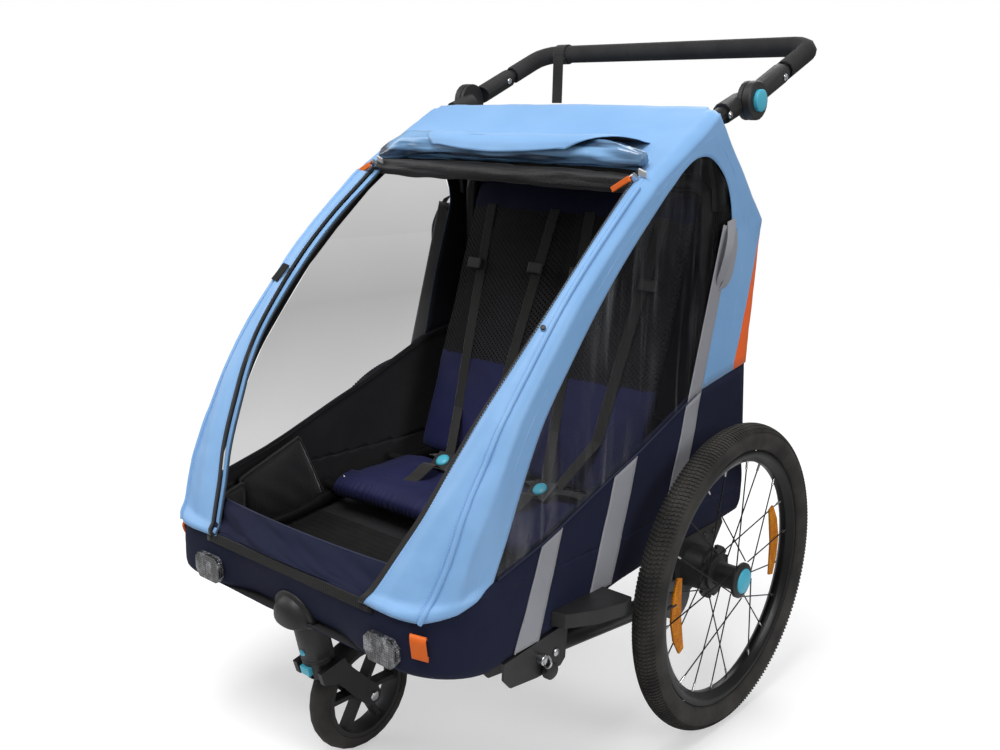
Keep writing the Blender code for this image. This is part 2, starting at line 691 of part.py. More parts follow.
def build_lower_body():
    """Tray of navy cloth: an open surface given its thickness inward."""
    bm = bmesh.new()
    ring = plan_ring()
    rows = []
    for x, y, inside in ring:
        front = max(inside[1], 0.0) if y < -0.4 else 0.0
        rear = max(-inside[1], 0.0)
        bottom = floor_z(y)
        inset = 0.004 + 0.007 * front - 0.002 * rear
        top_inset = 0.019 * rear
        heights = [(inset, bottom), (0.002 * front, bottom + 0.010 + 0.034 * front),
                   (top_inset, body_top_z(x, y))]
        rows.append([bm.verts.new((x + inside[0] * d if x else 0, y + inside[1] * d, z))
                     for d, z in heights])
    for near, far in zip(rows, rows[1:]):
        for k in range(2):
            bm.faces.new((near[k], far[k], far[k + 1], near[k + 1]))
    first, last = 2, len(rows) - 3
    middles = {k: bm.verts.new((0, rows[k][0].co.y, rows[k][0].co.z)) for k in range(3, last)}
    middles[first] = rows[0][0]
    middles[last] = rows[-1][0]
    for k in range(first, last):
        corner = [rows[k][0], middles[k], middles[k + 1], rows[k + 1][0]]
        if k == first:
            corner = [rows[2][0], rows[1][0], rows[0][0], middles[3], rows[3][0]]
        if k + 1 == last:
            corner = [rows[k][0], middles[k], rows[-1][0], rows[-2][0], rows[-3][0]]
        bm.faces.new(corner)
    bmesh.ops.recalc_face_normals(bm, faces=bm.faces)
    if sum(face.normal.z * face.calc_area() for face in bm.faces) > 0:
        bmesh.ops.reverse_faces(bm, faces=bm.faces)
    obj = add("lower_body", from_bmesh("lower_body", bm), "navy_cloth")
    mirror = obj.modifiers.new("other side", "MIRROR")
    mirror.merge_threshold = 0.0001
    thick = obj.modifiers.new("cloth", "SOLIDIFY")
    thick.thickness = CLOTH
    thick.offset = -1
    thick.use_even_offset = True
    elbow = cylinder_mesh("elbow_hole", ELBOW_R + 0.0006, 0.150, "Y", (0, -0.565, ELBOW_Z), 16)
    barrel = cylinder_mesh("barrel_hole", SOCKET_R + 0.0006, 0.090, "Z", (0, 0, 0.045), 16)
    barrel.transform(swivel_frame())
    hole = fused("socket_hole", [elbow, barrel, socket_hood(0.0006)])
    boolean(obj, add("socket_hole", hole))


def swivel_frame():
    """Placement of a body made about Z with its zero at the seam of the front fork."""
    return Matrix.Translation((0, SWIVEL_Y, SEAM_Z)) @ Matrix.Rotation(RAKE, 4, "X")


def socket_hood(extra):
    """Flared half dome where the socket of the front wheel meets the cloth."""
    out = HOOD_R + extra
    dome = turned_mesh("hood", [
        (0.0, 0.0), (0.0200, 0.0), (0.0340, -0.0060), (out - 0.0060, -0.0160),
        (out, -0.0260), (out, -0.0420 - 3 * extra), (0.0, -0.0420 - 3 * extra),
    ], 28)
    dome.transform(Matrix.Rotation(math.pi / 2, 4, "X"))
    dome.transform(Matrix.Translation((0, HOOD_FRONT - extra, HOOD_Z)))
    below = box_mesh("below", (0.200, 0.200, 0.100), (0, HOOD_FRONT, HOOD_Z - 0.050 - extra))
    return cut("hood", dome, [below])


def build_front_reflectors():
    outline = [(-0.0300, -0.008), (-0.021, -0.020), (0.021, -0.020), (0.0300, -0.008),
               (0.0300, 0.010), (0.021, 0.020), (-0.021, 0.020), (-0.0300, 0.010)]
    for x, side in ((0.0413 - FRONT_CORNER[0], "right"), (FRONT_CORNER[0] - 0.0113, "left")):
        lens = plate_mesh("lens", outline, 0.010, 0)
        # The lens is made across X and turned to face forward, then leant with the cloth.
        lens.transform(Matrix.Rotation(-math.pi / 2, 4, "Z"))
        lens.transform(Matrix.Translation((x, -0.6010, 0.2860)) @ Matrix.Rotation(0.030, 4, "X"))
        add("front_reflector_" + side, lens, "clear_lens")


# Front wheel

def build_caster():
    socket_profile = [
        (0.0, 0.0800), (0.0150, 0.0790), (0.0215, 0.0740), (SOCKET_R, 0.0640), (SOCKET_R, GAP),
        (STEM_R + GAP, GAP), (STEM_R + GAP, 0.0560), (0.0, 0.0560),
    ]
    barrel = turned_mesh("socket", socket_profile, 16)
    barrel.transform(swivel_frame())
    elbow_profile = [
        (0.0, 0.0), (0.0140, -0.0020), (0.0195, -0.0070), (ELBOW_R, -0.0130),
        (ELBOW_R, -0.1050), (0.0, -0.1050),
    ]
    elbow = turned_mesh("elbow", elbow_profile, 16)
    elbow.transform(Matrix.Rotation(math.pi / 2, 4, "X"))
    elbow.transform(Matrix.Translation((0, ELBOW_FRONT, ELBOW_Z)))
    socket = fused("caster_socket", [barrel, elbow, socket_hood(0.0)])
    bore = cylinder_mesh("bore", CROSS_R + GAP, 0.080, "X", (0, FRONT_CROSS_Y, rail_z(FRONT_CROSS_Y)), 8)
    well = cylinder_mesh("well", 0.0060, 0.020, "Y", (0, -SOCKET_R, 0.0190), 16)
    well.transform(swivel_frame())
    add("caster_socket", cut("caster_socket", socket, [bore, well]), "black_plastic")

    button = turned_mesh("release_button", [
        (0.0, 0.0075), (0.0035, 0.0072), (0.0057, 0.0055), (0.0057, 0.0), (0.0, 0.0),
    ], 16)
    button.transform(Matrix.Rotation(math.pi / 2, 4, "X"))
    button.transform(swivel_frame() @ Matrix.Translation((0, -SOCKET_R + 0.0055, 0.0190)))
    add("caster_release_button", button, "cyan_plastic")

    head_profile = [
        (0.0, 0.0540), (0.0050, 0.0540), (STEM_R, 0.0530), (STEM_R, -GAP), (FORK_HEAD_R, -GAP),
        (FORK_HEAD_R, -0.0250), (0.0200, -0.0310), (0.0, -0.0330),
    ]
    slot = box_mesh("slot", (0.0206, 0.0080, 0.0206), (0, -FORK_HEAD_R, -0.0150))
    head = cut("head", turned_mesh("head", head_profile, 20), [slot])
    head.transform(swivel_frame())
    arm_outline = [
        (-0.5595, 0.1680), (-0.5150, 0.1790), (-0.5060, 0.1640), (-0.4480, 0.1075),
        (-0.4430, 0.0950), (-0.4480, 0.0830), (-0.4600, 0.0800), (-0.4720, 0.0850),
        (-0.5250, 0.1400), (-0.5530, 0.1480),
    ]
    arm_x = FORK_INNER + FORK_WALL / 2
    bolt_hole = (CASTER_Y, CASTER_R, 0.0048)
    arms = [plate_mesh("arm", arm_outline, FORK_WALL, side * arm_x, [bolt_hole]) for side in (-1, 1)]
    yoke = plate_mesh("yoke", [(-0.5490, 0.1680), (-0.5165, 0.1760), (-0.5080, 0.1650),
                               (-0.5080, 0.1500), (-0.5460, 0.1500)], 2 * FORK_INNER + 0.002, 0.0)
    fork = fused("caster_fork", [head, yoke, *arms])
    room = cylinder_mesh("room", CASTER_R + 0.0035, 2 * FORK_INNER + 0.0005, "X", (0, CASTER_Y, CASTER_R), 40)
    add("caster_fork", cut("caster_fork", fork, [room]), "black_plastic")

    lever = box_mesh("swivel_lever", (0.0200, 0.0080, 0.0140), (0, -FORK_HEAD_R - 0.0004, -0.0118), 0.0015)
    lever.transform(swivel_frame())
    add("swivel_lever", lever, "cyan_plastic")

    seat = CASTER_RIM_R + GAP
    centre_r = CASTER_R - 0.0185
    foot = math.asin((seat - centre_r) / 0.0185)
    section = [
        (centre_r + 0.0185 * math.sin(foot + (math.pi - 2 * foot) * k / 8),
         0.0185 * math.cos(foot + (math.pi - 2 * foot) * k / 8))
        for k in range(9)
    ]
    place = (0, CASTER_Y, CASTER_R)
    add("caster_tyre", along_x(turned_mesh("caster_tyre", [*section, section[0]], 28)), "rubber", place)

    ring = turned_mesh("ring", [
        (CASTER_RIM_R, 0.0170), (CASTER_RIM_R, -0.0170), (0.0650, -0.0170), (0.0620, 0.0),
        (0.0650, 0.0170), (CASTER_RIM_R, 0.0170),
    ], 28)
    hub = turned_mesh("caster_hub", [
        (0.0135, 0.0222), (0.0135, -0.0222), (0.0048, -0.0222), (0.0048, 0.0222), (0.0135, 0.0222),
    ], 16)
    spokes = []
    for k in range(CASTER_SPOKES):
        arm = box_mesh("arm", (0.0540, 0.0075, 0.0200), (0.0375, 0, 0))
        arm.transform(Matrix.Rotation(math.tau * (k + 0.5) / CASTER_SPOKES, 4, "Z"))
        spokes.append(arm)
    add("caster_rim", along_x(fused("caster_rim", [ring, hub, *spokes])), "black_plastic", place)

    bolt = turned_mesh("caster_bolt", [
        (0.0, 0.0365), (0.0060, 0.0360), (0.0075, 0.0345), (0.0075, 0.0329), (0.0045, 0.0329),
        (0.0045, -0.0329), (0.0075, -0.0329), (0.0075, -0.0345), (0.0060, -0.0360), (0.0, -0.0365),
    ], 16)
    add("caster_axle_bolt", along_x(bolt), "chrome", place)


# Tow arm

def arm_z(y):
    """Centre line of the stowed tow arm."""
    return 0.2270 - 0.0926 * (y + 0.330)


def build_tow_side():
    xs = (RAIL_X - 0.022, RAIL_X + 0.022)
    top = [(y, floor_z(y) - GAP - 0.0002) for y in (BRACKET_FRONT, -0.353, BRACKET_REAR)]
    outline = [*top, (-0.3420, 0.2140), (-0.3520, 0.2050), (-0.4050, 0.2060), (-0.4600, 0.2120),
               (-0.4750, 0.2280)]
    block = plate_mesh("bracket", outline, xs[1] - xs[0], sum(xs) / 2)
    wall = BRACKET_WALL
    inner = [(BRACKET_FRONT - 0.01, top[0][1] - wall), (-0.353, top[1][1] - wall),
             (BRACKET_REAR + 0.01, top[2][1] - wall), (BRACKET_REAR + 0.01, 0.190),
             (BRACKET_FRONT - 0.01, 0.190)]
    channel = plate_mesh("channel", inner, xs[1] - xs[0] - 2 * wall, sum(xs) / 2)
    pin_y = -0.400
    bolt_y = -0.365
    holes = [
        cylinder_mesh("pin_hole", PIN_R + GAP, 0.100, "X", (RAIL_X, pin_y, arm_z(pin_y)), 12),
        cylinder_mesh("bolt_hole", PIN_R + GAP, 0.100, "X", (RAIL_X, bolt_y, arm_z(bolt_y)), 12),
    ]
    knob_place = (-0.3850, 0.2130)
    knob_hole = cylinder_mesh("knob_hole", 0.0033, 0.030, "X", (xs[1], *knob_place), 10)
    add("tow_bracket", cut("tow_bracket", block, [channel, *holes, knob_hole]), "black_plastic")

    knob = along_x(turned_mesh("knob", [
        (0.0, 0.0140), (0.0100, 0.0135), (0.0130, 0.0110), (0.0130, 0.0030), (0.0080, GAP),
        (0.0030, GAP), (0.0030, -0.0060), (0.0, -0.0060),
    ], 20))
    add("tow_knob", knob, "black_plastic", (xs[1], *knob_place))

    tube = tube_mesh("tow_arm", [(RAIL_X, y, arm_z(y)) for y in (-0.440, -0.330, -0.045)], ARM_TUBE_R, 6)
    add("tow_arm", cut("tow_arm", tube, holes), "black_tube")

    end = (-0.028, 0.200)
    disc = plate_mesh("disc", [
        (end[0] + 0.038 * math.cos(math.tau * k / 20), end[1] + 0.038 * math.sin(math.tau * k / 20))
        for k in range(20)
    ], 0.024, RAIL_X)
    sleeve = tube_mesh("sleeve", [(RAIL_X, y, arm_z(y)) for y in (-0.100, -0.030)], 0.0195, 6)
    bore = tube_mesh("bore", [(RAIL_X, y, arm_z(y)) for y in (-0.110, -0.0447)], ARM_TUBE_R + GAP, 6)
    bevelled = fused("tow_coupling", [disc, sleeve])
    add("tow_coupling", cut("tow_coupling", bevelled, [bore]), "grey_plastic")

    pin = along_x(turned_mesh("tow_pin", [
        (0.0, 0.0330), (0.0060, 0.0325), (0.0075, 0.0310), (0.0075, 0.0224), (PIN_R, 0.0224),
        (PIN_R, -0.0240), (0.0025, -0.0260), (0.0, -0.0260),
    ], 12))
    ring_points = [(0.0330 + 0.0095 * math.cos(math.tau * k / 14), 0.0, 0.0095 * math.sin(math.tau * k / 14))
                   for k in range(14)]
    ring = tube_mesh("pull_ring", ring_points, 0.0014, 1, True)
    add("tow_pin", fused("tow_pin", [pin, ring]), "chrome", (RAIL_X, pin_y, arm_z(pin_y)))
    return bolt_y


def build_tow_bolt(bolt_y):
    """Bright bolt through the tow bracket and the arm."""
    through = along_x(turned_mesh("through_bolt", [
        (0.0, 0.0258), (0.0040, 0.0255), (0.0062, 0.0238), (0.0062, 0.0224), (PIN_R, 0.0224),
        (PIN_R, -0.0224), (0.0062, -0.0224), (0.0062, -0.0255), (0.0, -0.0255),
    ], 12))
    add("tow_bolt", through, "chrome", (RAIL_X, bolt_y, arm_z(bolt_y)))


def slab_mesh(name, outline, bottom, top):
    """Flat (x, y) outline with its thickness up Z."""
    slab = plate_mesh(name, outline, top - bottom, 0.0)
    slab.transform(Matrix(((0, 1, 0, 0), (0, 0, 1, 0), (1, 0, 0, (bottom + top) / 2), (0, 0, 0, 1))))
    return slab


def build_steps():
    """Foot ledge in front of each wheel, hollow underneath."""
    x0 = BODY_HALF + GAP
    rear = -WHEEL_R - STEP_CLEAR
    outline = [(x0, rear - 0.1195), (x0 + 0.0204, rear - 0.1135), (x0 + 0.0444, rear - 0.0695),
               (x0 + 0.0559, rear - 0.0235), (x0 + 0.0519, rear), (x0, rear)]
    pocket = [(x0 + 0.004, rear - 0.1125), (x0 + 0.0169, rear - 0.1075), (x0 + 0.0404, rear - 0.0675),
              (x0 + 0.0519, rear - 0.0235), (x0 + 0.0484, rear - 0.004), (x0 + 0.004, rear - 0.004)]
    body = slab_mesh("step", outline, 0.2740, 0.2950)
    under = slab_mesh("pocket", pocket, 0.2650, 0.2905)
    left = cut("step", body, [under])
    add("step_left", left, "black_plastic")
    add("step_right", mirrored(left, "step_right"), "black_plastic")


def build_brake_pedal():
    """Foot lever that turns on the axle tube; it sits out of sight behind the wheel."""
    x = -0.150
    ring = along_x(turned_mesh("ring", [
        (0.0175, 0.020), (0.0175, -0.020), (AXLE_TUBE_R + GAP, -0.020), (AXLE_TUBE_R + GAP, 0.020),
        (0.0175, 0.020),
    ], 20))
    ring.transform(Matrix.Translation((x, 0, WHEEL_R)))
    arm = box_mesh("arm", (0.012, 0.085, 0.010), (x, 0.0575, WHEEL_R), 0.001)
    pad = box_mesh("pad", (0.070, 0.034, 0.009), (x, 0.108, WHEEL_R), 0.002)
    add("brake_pedal", fused("brake_pedal", [ring, arm, pad]), "black_plastic")


# Hoop and push bar

def ray_point(angle, distance, x):
    """Point at a distance from the push bar hub, in the plane across X."""
    return (x, HUB_Y + distance * math.cos(angle), HUB_Z + distance * math.sin(angle))


STUB_ANGLE = math.radians(200)


def build_hoop():
    lower = [(HOOP_PIVOT[0], HOOP_PIVOT[1] - 0.0115), (-0.5185, 0.350), (-0.5165, 0.398)]
    rail = inward(RIDGE[:ROOF_REAR], HOOP_DEPTH)[3:]
    line = [(RAIL_X, y, z) for y, z in [*lower, *rail]]
    line += [ray_point(STUB_ANGLE, 0.088, RAIL_X), ray_point(STUB_ANGLE, 0.0405, RAIL_X)]
    left = tube_mesh("hoop_tube", line, TUBE_R, 3)
    cross = cross_tube("hoop_cross", *HOOP_PIVOT, RAIL_X - TUBE_R + WELD)
    inner = UPRIGHT_X + TUBE_R + GAP
    lock = plate_mesh("lock", [
        (-0.010, 0.951), (0.010, 0.958), (0.036, 0.900), (0.064, 0.860), (0.067, 0.822),
        (0.045, 0.822), (0.040, 0.858), (0.018, 0.900),
    ], 0.0080, inner + 0.0040)
    pieces = [left, mirrored(left, "hoop_right"), cross, lock, mirrored(lock, "lock_right")]
    add("front_hoop", fused("front_hoop", pieces), "black_tube")


def hub_half(name, x0, x1, bore=None):
    profile = [(HUB_R - 0.002, x1), (HUB_R, x1 - 0.002), (HUB_R, x0 + 0.001), (HUB_R - 0.001, x0)]
    body = along_x(turned_mesh(name, [(0.0, x1), *profile, (0.0, x0)], 20))
    body.transform(Matrix.Translation((0, HUB_Y, HUB_Z)))
    return body


def build_push_bar():
    seam, inner_x, outer_x, recess = HUB_SEAM, HUB_INNER, HUB_OUTER, BUTTON_RECESS
    clear = HUB_R + RUN

    fixed = hub_half("fixed", inner_x, seam - GAP)
    stub = tube_mesh("stub", [ray_point(STUB_ANGLE, 0.012, RAIL_X), ray_point(STUB_ANGLE, 0.0640, RAIL_X)],
                     SLEEVE_R, 4)
    turning_room = cylinder_mesh("room", clear, 0.040, "X", (seam - GAP + 0.020, HUB_Y, HUB_Z), 32)
    stub = cut("stub", stub, [turning_room])
    pivot_end = recess - 0.0015
    pivot = cylinder_mesh("pivot", 0.0100, pivot_end - inner_x - 0.001, "X",
                          ((pivot_end + inner_x + 0.001) / 2, HUB_Y, HUB_Z), 16)
    bore = tube_mesh("bore", [ray_point(STUB_ANGLE, 0.0402, RAIL_X), ray_point(STUB_ANGLE, 0.080, RAIL_X)],
                     TUBE_R + GAP, 3)
    left = cut("handle_hub", fused("handle_hub", [fixed, stub, pivot]), [bore])
    add("handle_hub_left", left, "black_plastic")
    add("handle_hub_right", mirrored(left, "handle_hub_right"), "black_plastic")

    arm_x = ARM_X
    turning = hub_half("turning", seam + GAP, outer_x)
    sleeve = tube_mesh("sleeve", [ray_point(BAR_ANGLE, 0.012, arm_x), ray_point(BAR_ANGLE, SLEEVE_END, arm_x)],
                       SLEEVE_R, 4)
    fixed_room = cylinder_mesh("room", clear, 0.060, "X", (seam + GAP - 0.030, HUB_Y, HUB_Z), 32)
    sleeve = cut("sleeve", sleeve, [fixed_room])
    body = fused("handle_arm", [turning, sleeve])
    cuts = [
        cylinder_mesh("pivot_bore", 0.0100 + GAP, 0.020, "X",
                      (pivot_end + 0.0005 - 0.010, HUB_Y, HUB_Z), 16),
        cylinder_mesh("button_bore", BUTTON_R + GAP, 0.030, "X", (recess + 0.015, HUB_Y, HUB_Z), 20),
        tube_mesh("tube_bore", [ray_point(BAR_ANGLE, 0.0480, arm_x), ray_point(BAR_ANGLE, 0.160, arm_x)],
                  BAR_TUBE_R + GAP, 3),
        cylinder_mesh("bolt_hole", BOLT_R + GAP, 0.050, "X", ray_point(BAR_ANGLE, BOLT_REACH, arm_x), 10),
    ]
    arm = cut("handle_arm", body, cuts)
    add("handle_arm_left", arm, "black_plastic")
    add("handle_arm_right", mirrored(arm, "handle_arm_right"), "black_plastic")

    button = along_x(turned_mesh("hub_button", [
        (0.0, 0.0155), (0.0120, 0.0150), (BUTTON_R, 0.0130), (BUTTON_R, 0.0030), (0.0, 0.0030),
    ], 20))
    place = (recess, HUB_Y, HUB_Z)
    add("hub_button_left", button, "cyan_plastic", place)
    add("hub_button_right", mirrored(button, "hub_button_right"), "cyan_plastic", (-recess, HUB_Y, HUB_Z))

    def bar_path(start):
        half = [ray_point(BAR_ANGLE, start, arm_x)]
        centre_x = arm_x - BAR_CORNER_R
        for k in range(5):
            turn = math.pi / 2 * k / 4
            distance = BAR_REACH - BAR_CORNER_R * (1 - math.sin(turn))
            half.append(ray_point(BAR_ANGLE, distance, centre_x + BAR_CORNER_R * math.cos(turn)))
        return half + [(-x, y, z) for x, y, z in reversed(half)]

    bolt_at = ray_point(BAR_ANGLE, BOLT_REACH, arm_x)
    bolt_hole = cylinder_mesh("bolt_hole", BOLT_R + GAP, 0.050, "X", bolt_at, 10)
    holes = join_meshes("bolt_holes", [bolt_hole, mirrored(bolt_hole, "hole_right")])
    bar = tube_mesh("handlebar_tube", bar_path(0.0490), BAR_TUBE_R, 3)
    add("handlebar_tube", cut("handlebar_tube", bar, [holes]), "black_tube")
    foam = tube_mesh("foam", bar_path(FOAM_START), GRIP_R, 3)
    core = tube_mesh("core", bar_path(FOAM_START - 0.01), BAR_TUBE_R + GAP, 3)
    add("handlebar_grip", cut("handlebar_grip", foam, [core]), "black_foam")

    seat = SLEEVE_R + GAP
    bolt = along_x(turned_mesh("bolt", [
        (0.0, seat + 0.0035), (0.0040, seat + 0.0030), (0.0055, seat + 0.0012), (0.0055, seat),
        (BOLT_R, seat), (BOLT_R, -seat), (0.0055, -seat), (0.0055, -seat - 0.0012),
        (0.0040, -seat - 0.0030), (0.0, -seat - 0.0035),
    ], 12))
    bolt.transform(Matrix.Translation(bolt_at))
    add("handle_bolt_left", bolt, "chrome")
    add("handle_bolt_right", mirrored(bolt, "handle_bolt_right"), "chrome")

    strap_x = 0.050 - ARM_X
    bar = ray_point(BAR_ANGLE, BAR_REACH, strap_x)
    collar_r = GRIP_R + STRAP_WALL - 0.0022
    collar = along_x(turned_mesh("collar", [
        (collar_r + 0.0022, 0.0130), (collar_r + 0.0022, -0.0130), (collar_r, -0.0130),
        (collar_r, 0.0130), (collar_r + 0.0022, 0.0130),
    ], 20))
    collar.transform(Matrix.Translation(bar))
    tail = box_mesh("tail", (0.0250, 0.0020, 0.095), (bar[0], bar[1] - collar_r - 0.0008, bar[2] - 0.0475))
    add("wrist_strap", fused("wrist_strap", [collar, tail]), "black_web")


# Seat

SEAT_LEAN = math.atan2(0.520, 0.160)


def seat_point(along, behind, x):
    """Point on the seat back: distance up its face and distance behind the face."""
    return (x, -0.115 + along * math.cos(SEAT_LEAN) + behind * math.sin(SEAT_LEAN),
            0.330 + along * math.sin(SEAT_LEAN) - behind * math.cos(SEAT_LEAN))


def build_back_frame():
    foot = (BACK_PIVOT[0] + 0.0003, BACK_PIVOT[1] - 0.0115)
    radius = 0.035
    half = [(UPRIGHT_X, *foot)]
    for k in range(5):
        turn = math.pi / 2 * k / 4
        rise = radius * (1 - math.sin(turn))
        share = (BACK_TOP[1] - rise - foot[1]) / (BACK_TOP[1] - foot[1])
        half.append((UPRIGHT_X - radius * (1 - math.cos(turn)), foot[0] + (BACK_TOP[0] - foot[0]) * share,
                     BACK_TOP[1] - rise))
    loop = tube_mesh("back_loop", half + [(-x, y, z) for x, y, z in reversed(half)], TUBE_R, 3)
    foot_tube = cross_tube("back_foot", *BACK_PIVOT, UPRIGHT_X - TUBE_R + WELD)
    add("back_frame", fused("back_frame", [loop, foot_tube]), "black_tube")


def cushion_mesh(name, half, rows, across, drop):
    """Padded block: rows of (front or lower y, z) pairs for its outer and inner face, drawn in at its rim."""
    bm = bmesh.new()
    last = len(rows) - 1
    faces = []
    for face in range(2):
        grid = []
        for k, row in enumerate(rows):
            line = []
            for j in range(across + 1):
                u = j / across
                x = half * (2 * u - 1)
                edge = min(u, 1 - u) * across
                dip = drop * (1.0 if edge < 0.5 else 0.0) * (1 if face == 0 else 0)
                seam = 0.007 if face == 0 and abs(x) < 0.02 else 0.0
                swell = 0.006 * math.sin(math.pi * min(k + 0.5, last) / last) * (1 if face == 0 else 0)
                y, z = row[face]
                ny, nz = row[2]
                lift = swell * math.sin(math.pi * ((2 * u) % 1.0)) - dip - seam
                line.append(bm.verts.new((x, y + ny * lift, z + nz * lift)))
            grid.append(line)
        faces.append(grid)
    top, bottom = faces
    for k in range(last):
        for j in range(across):
            bm.faces.new((top[k][j], top[k][j + 1], top[k + 1][j + 1], top[k + 1][j]))
            bm.faces.new((bottom[k][j], bottom[k + 1][j], bottom[k + 1][j + 1], bottom[k][j + 1]))
    for k in range(last):
        bm.faces.new((top[k][0], top[k + 1][0], bottom[k + 1][0], bottom[k][0]))
        bm.faces.new((top[k][-1], bottom[k][-1], bottom[k + 1][-1], top[k + 1][-1]))
    for j in range(across):
        bm.faces.new((top[0][j], bottom[0][j], bottom[0][j + 1], top[0][j + 1]))
        bm.faces.new((top[-1][j], top[-1][j + 1], bottom[-1][j + 1], bottom[-1][j]))
    bmesh.ops.recalc_face_normals(bm, faces=bm.faces)
    return from_bmesh(name, bm)


def surface_of(mesh):
    return BVHTree.FromPolygons([v.co for v in mesh.vertices], [tuple(f.vertices) for f in mesh.polygons])


def laid_on(tree, place, away, width):
    """Point moved along away until a strip of that width across X lies GAP off the surface."""
    away = Vector(away).normalized()
    highest = -0.1
    for share in (-0.5, -0.25, 0.0, 0.25, 0.5):
        start = Vector(place) + Vector((width * share, 0, 0)) + away * 0.1
        hit = tree.ray_cast(start, -away, 0.2)
        if hit[0] is not None:
            highest = max(highest, 0.1 - hit[3])
    return tuple(Vector(place) + away * (highest + GAP))


def build_seat():
    front_top = seat_bar_z(SEAT_BAR_FRONT_Y) + CROSS_R + GAP
    rear_top = seat_bar_z(SEAT_BAR_REAR_Y) + CROSS_R + GAP
    slope = (rear_top - front_top) / (SEAT_BAR_REAR_Y - SEAT_BAR_FRONT_Y)

    def under(y):
        return front_top + slope * (y - SEAT_BAR_FRONT_Y) + 0.0001

    rows = []
    for y, thick in ((-0.296, 0.010), (-0.292, 0.019), (-0.280, 0.0230), (-0.235, 0.0215),
                     (-0.190, 0.0180), (-0.150, 0.0145), (-0.122, 0.0115)):
        rows.append(((y, under(y) + thick), (y, under(y)), (0, 1)))
    base = cushion_mesh("seat_base", UPRIGHT_X - 0.024, rows, 12, 0.006)
    add("seat_base", base, "seat_cloth")

    normal = (-math.sin(SEAT_LEAN), math.cos(SEAT_LEAN))
    rows = []
    for along, deep in ((0.034, 0.004), (0.045, 0.0), (0.120, 0.0), (0.200, 0.0), (0.280, 0.0),
                        (0.360, 0.0), (0.440, 0.0), (0.512, 0.0), (0.5440, 0.004)):
        face = seat_point(along, deep + 0.006, 0)
        back = seat_point(along, 0.025, 0)
        rows.append((face[1:], back[1:], normal))
    back = cushion_mesh("seat_back", UPRIGHT_X - 0.018, rows, 12, 0.004)
    add("seat_back", back, "seat_cloth")
    return surface_of(base), surface_of(back)


def band_mesh(name, points, width, thickness):
    """Flat webbing along points (place, across, normal), with square section."""
    bm = bmesh.new()
    sections = []
    for place, across, normal in points:
        place, across, normal = Vector(place), Vector(across).normalized(), Vector(normal).normalized()
        corners = [(-0.5, 0), (0.5, 0), (0.5, 1), (-0.5, 1)]
        sections.append([bm.verts.new(place + across * width * a + normal * thickness * b)
                         for a, b in corners])
    for near, far in zip(sections, sections[1:]):
        for k in range(4):
            bm.faces.new((near[k], near[(k + 1) % 4], far[(k + 1) % 4], far[k]))
    bm.faces.new(sections[0])
    bm.faces.new(sections[-1])
    bmesh.ops.recalc_face_normals(bm, faces=bm.faces)
    return from_bmesh(name, bm)


BUCKLE_X = 0.110
BUCKLE_Y = -0.165
BUCKLE_TALL = 0.012
WEB_WIDTH = 0.022


def build_harness(base, back):
    """Shoulder straps that come together at the buckle of each seat."""
    normal = (0, -math.sin(SEAT_LEAN), math.cos(SEAT_LEAN))
    button = turned_mesh("buckle_button", [
        (0.0, 0.0060), (0.0070, 0.0056), (0.0094, 0.0042), (0.0094, 0.0), (0.0, 0.0),
    ], 16)
    for side, name in ((1, "left"), (-1, "right")):
        seats = [laid_on(base, (side * BUCKLE_X, BUCKLE_Y + dy, 0.34), (0, 0, 1), 0.052)[2]
                 for dy in (-0.022, -0.011, 0.0, 0.011, 0.022)]
        bottom = max(seats)
        straps = []
        for x, toward in ((0.038, BUCKLE_X - 0.009), (0.186, BUCKLE_X + 0.009)):
            line = []
            for along in (0.500, 0.440, 0.360, 0.280, 0.200, 0.120):
                share = 0.55 * (1 - (along - 0.03) / 0.47)
                place = seat_point(along, 0.0, side * (x + (toward - x) * share))
                line.append((laid_on(back, place, normal, WEB_WIDTH), (1, 0, 0), normal))
            end = (side * toward, BUCKLE_Y + 0.0220 + 3 * GAP, bottom + 0.0060)
            line.append((end, (1, 0, 0), (0, -0.4, 1)))
            straps.append(band_mesh("strap", line, WEB_WIDTH, 0.0018))
        add("harness_" + name, fused("harness", straps), "black_web")
        body = box_mesh("buckle", (0.052, 0.044, BUCKLE_TALL),
                        (side * BUCKLE_X, BUCKLE_Y, bottom + BUCKLE_TALL / 2), 0.003)
        well = cylinder_mesh("well", 0.0097, 0.012, "Z",
                             (side * BUCKLE_X, BUCKLE_Y, bottom + BUCKLE_TALL), 16)
        add("buckle_" + name, cut("buckle", body, [well]), "black_plastic")
        add("buckle_button_" + name, button.copy(), "cyan_plastic",
            (side * BUCKLE_X, BUCKLE_Y, bottom + BUCKLE_TALL - 0.0032))


# Cover

def plan_x(y):
    """Side of the lower body at a y, round its front corner."""
    over = FRONT_CORNER[1] - y
    if over <= 0:
        return BODY_HALF
    return FRONT_CORNER[0] + math.sqrt(max(FRONT_CORNER_R ** 2 - over ** 2, 0))


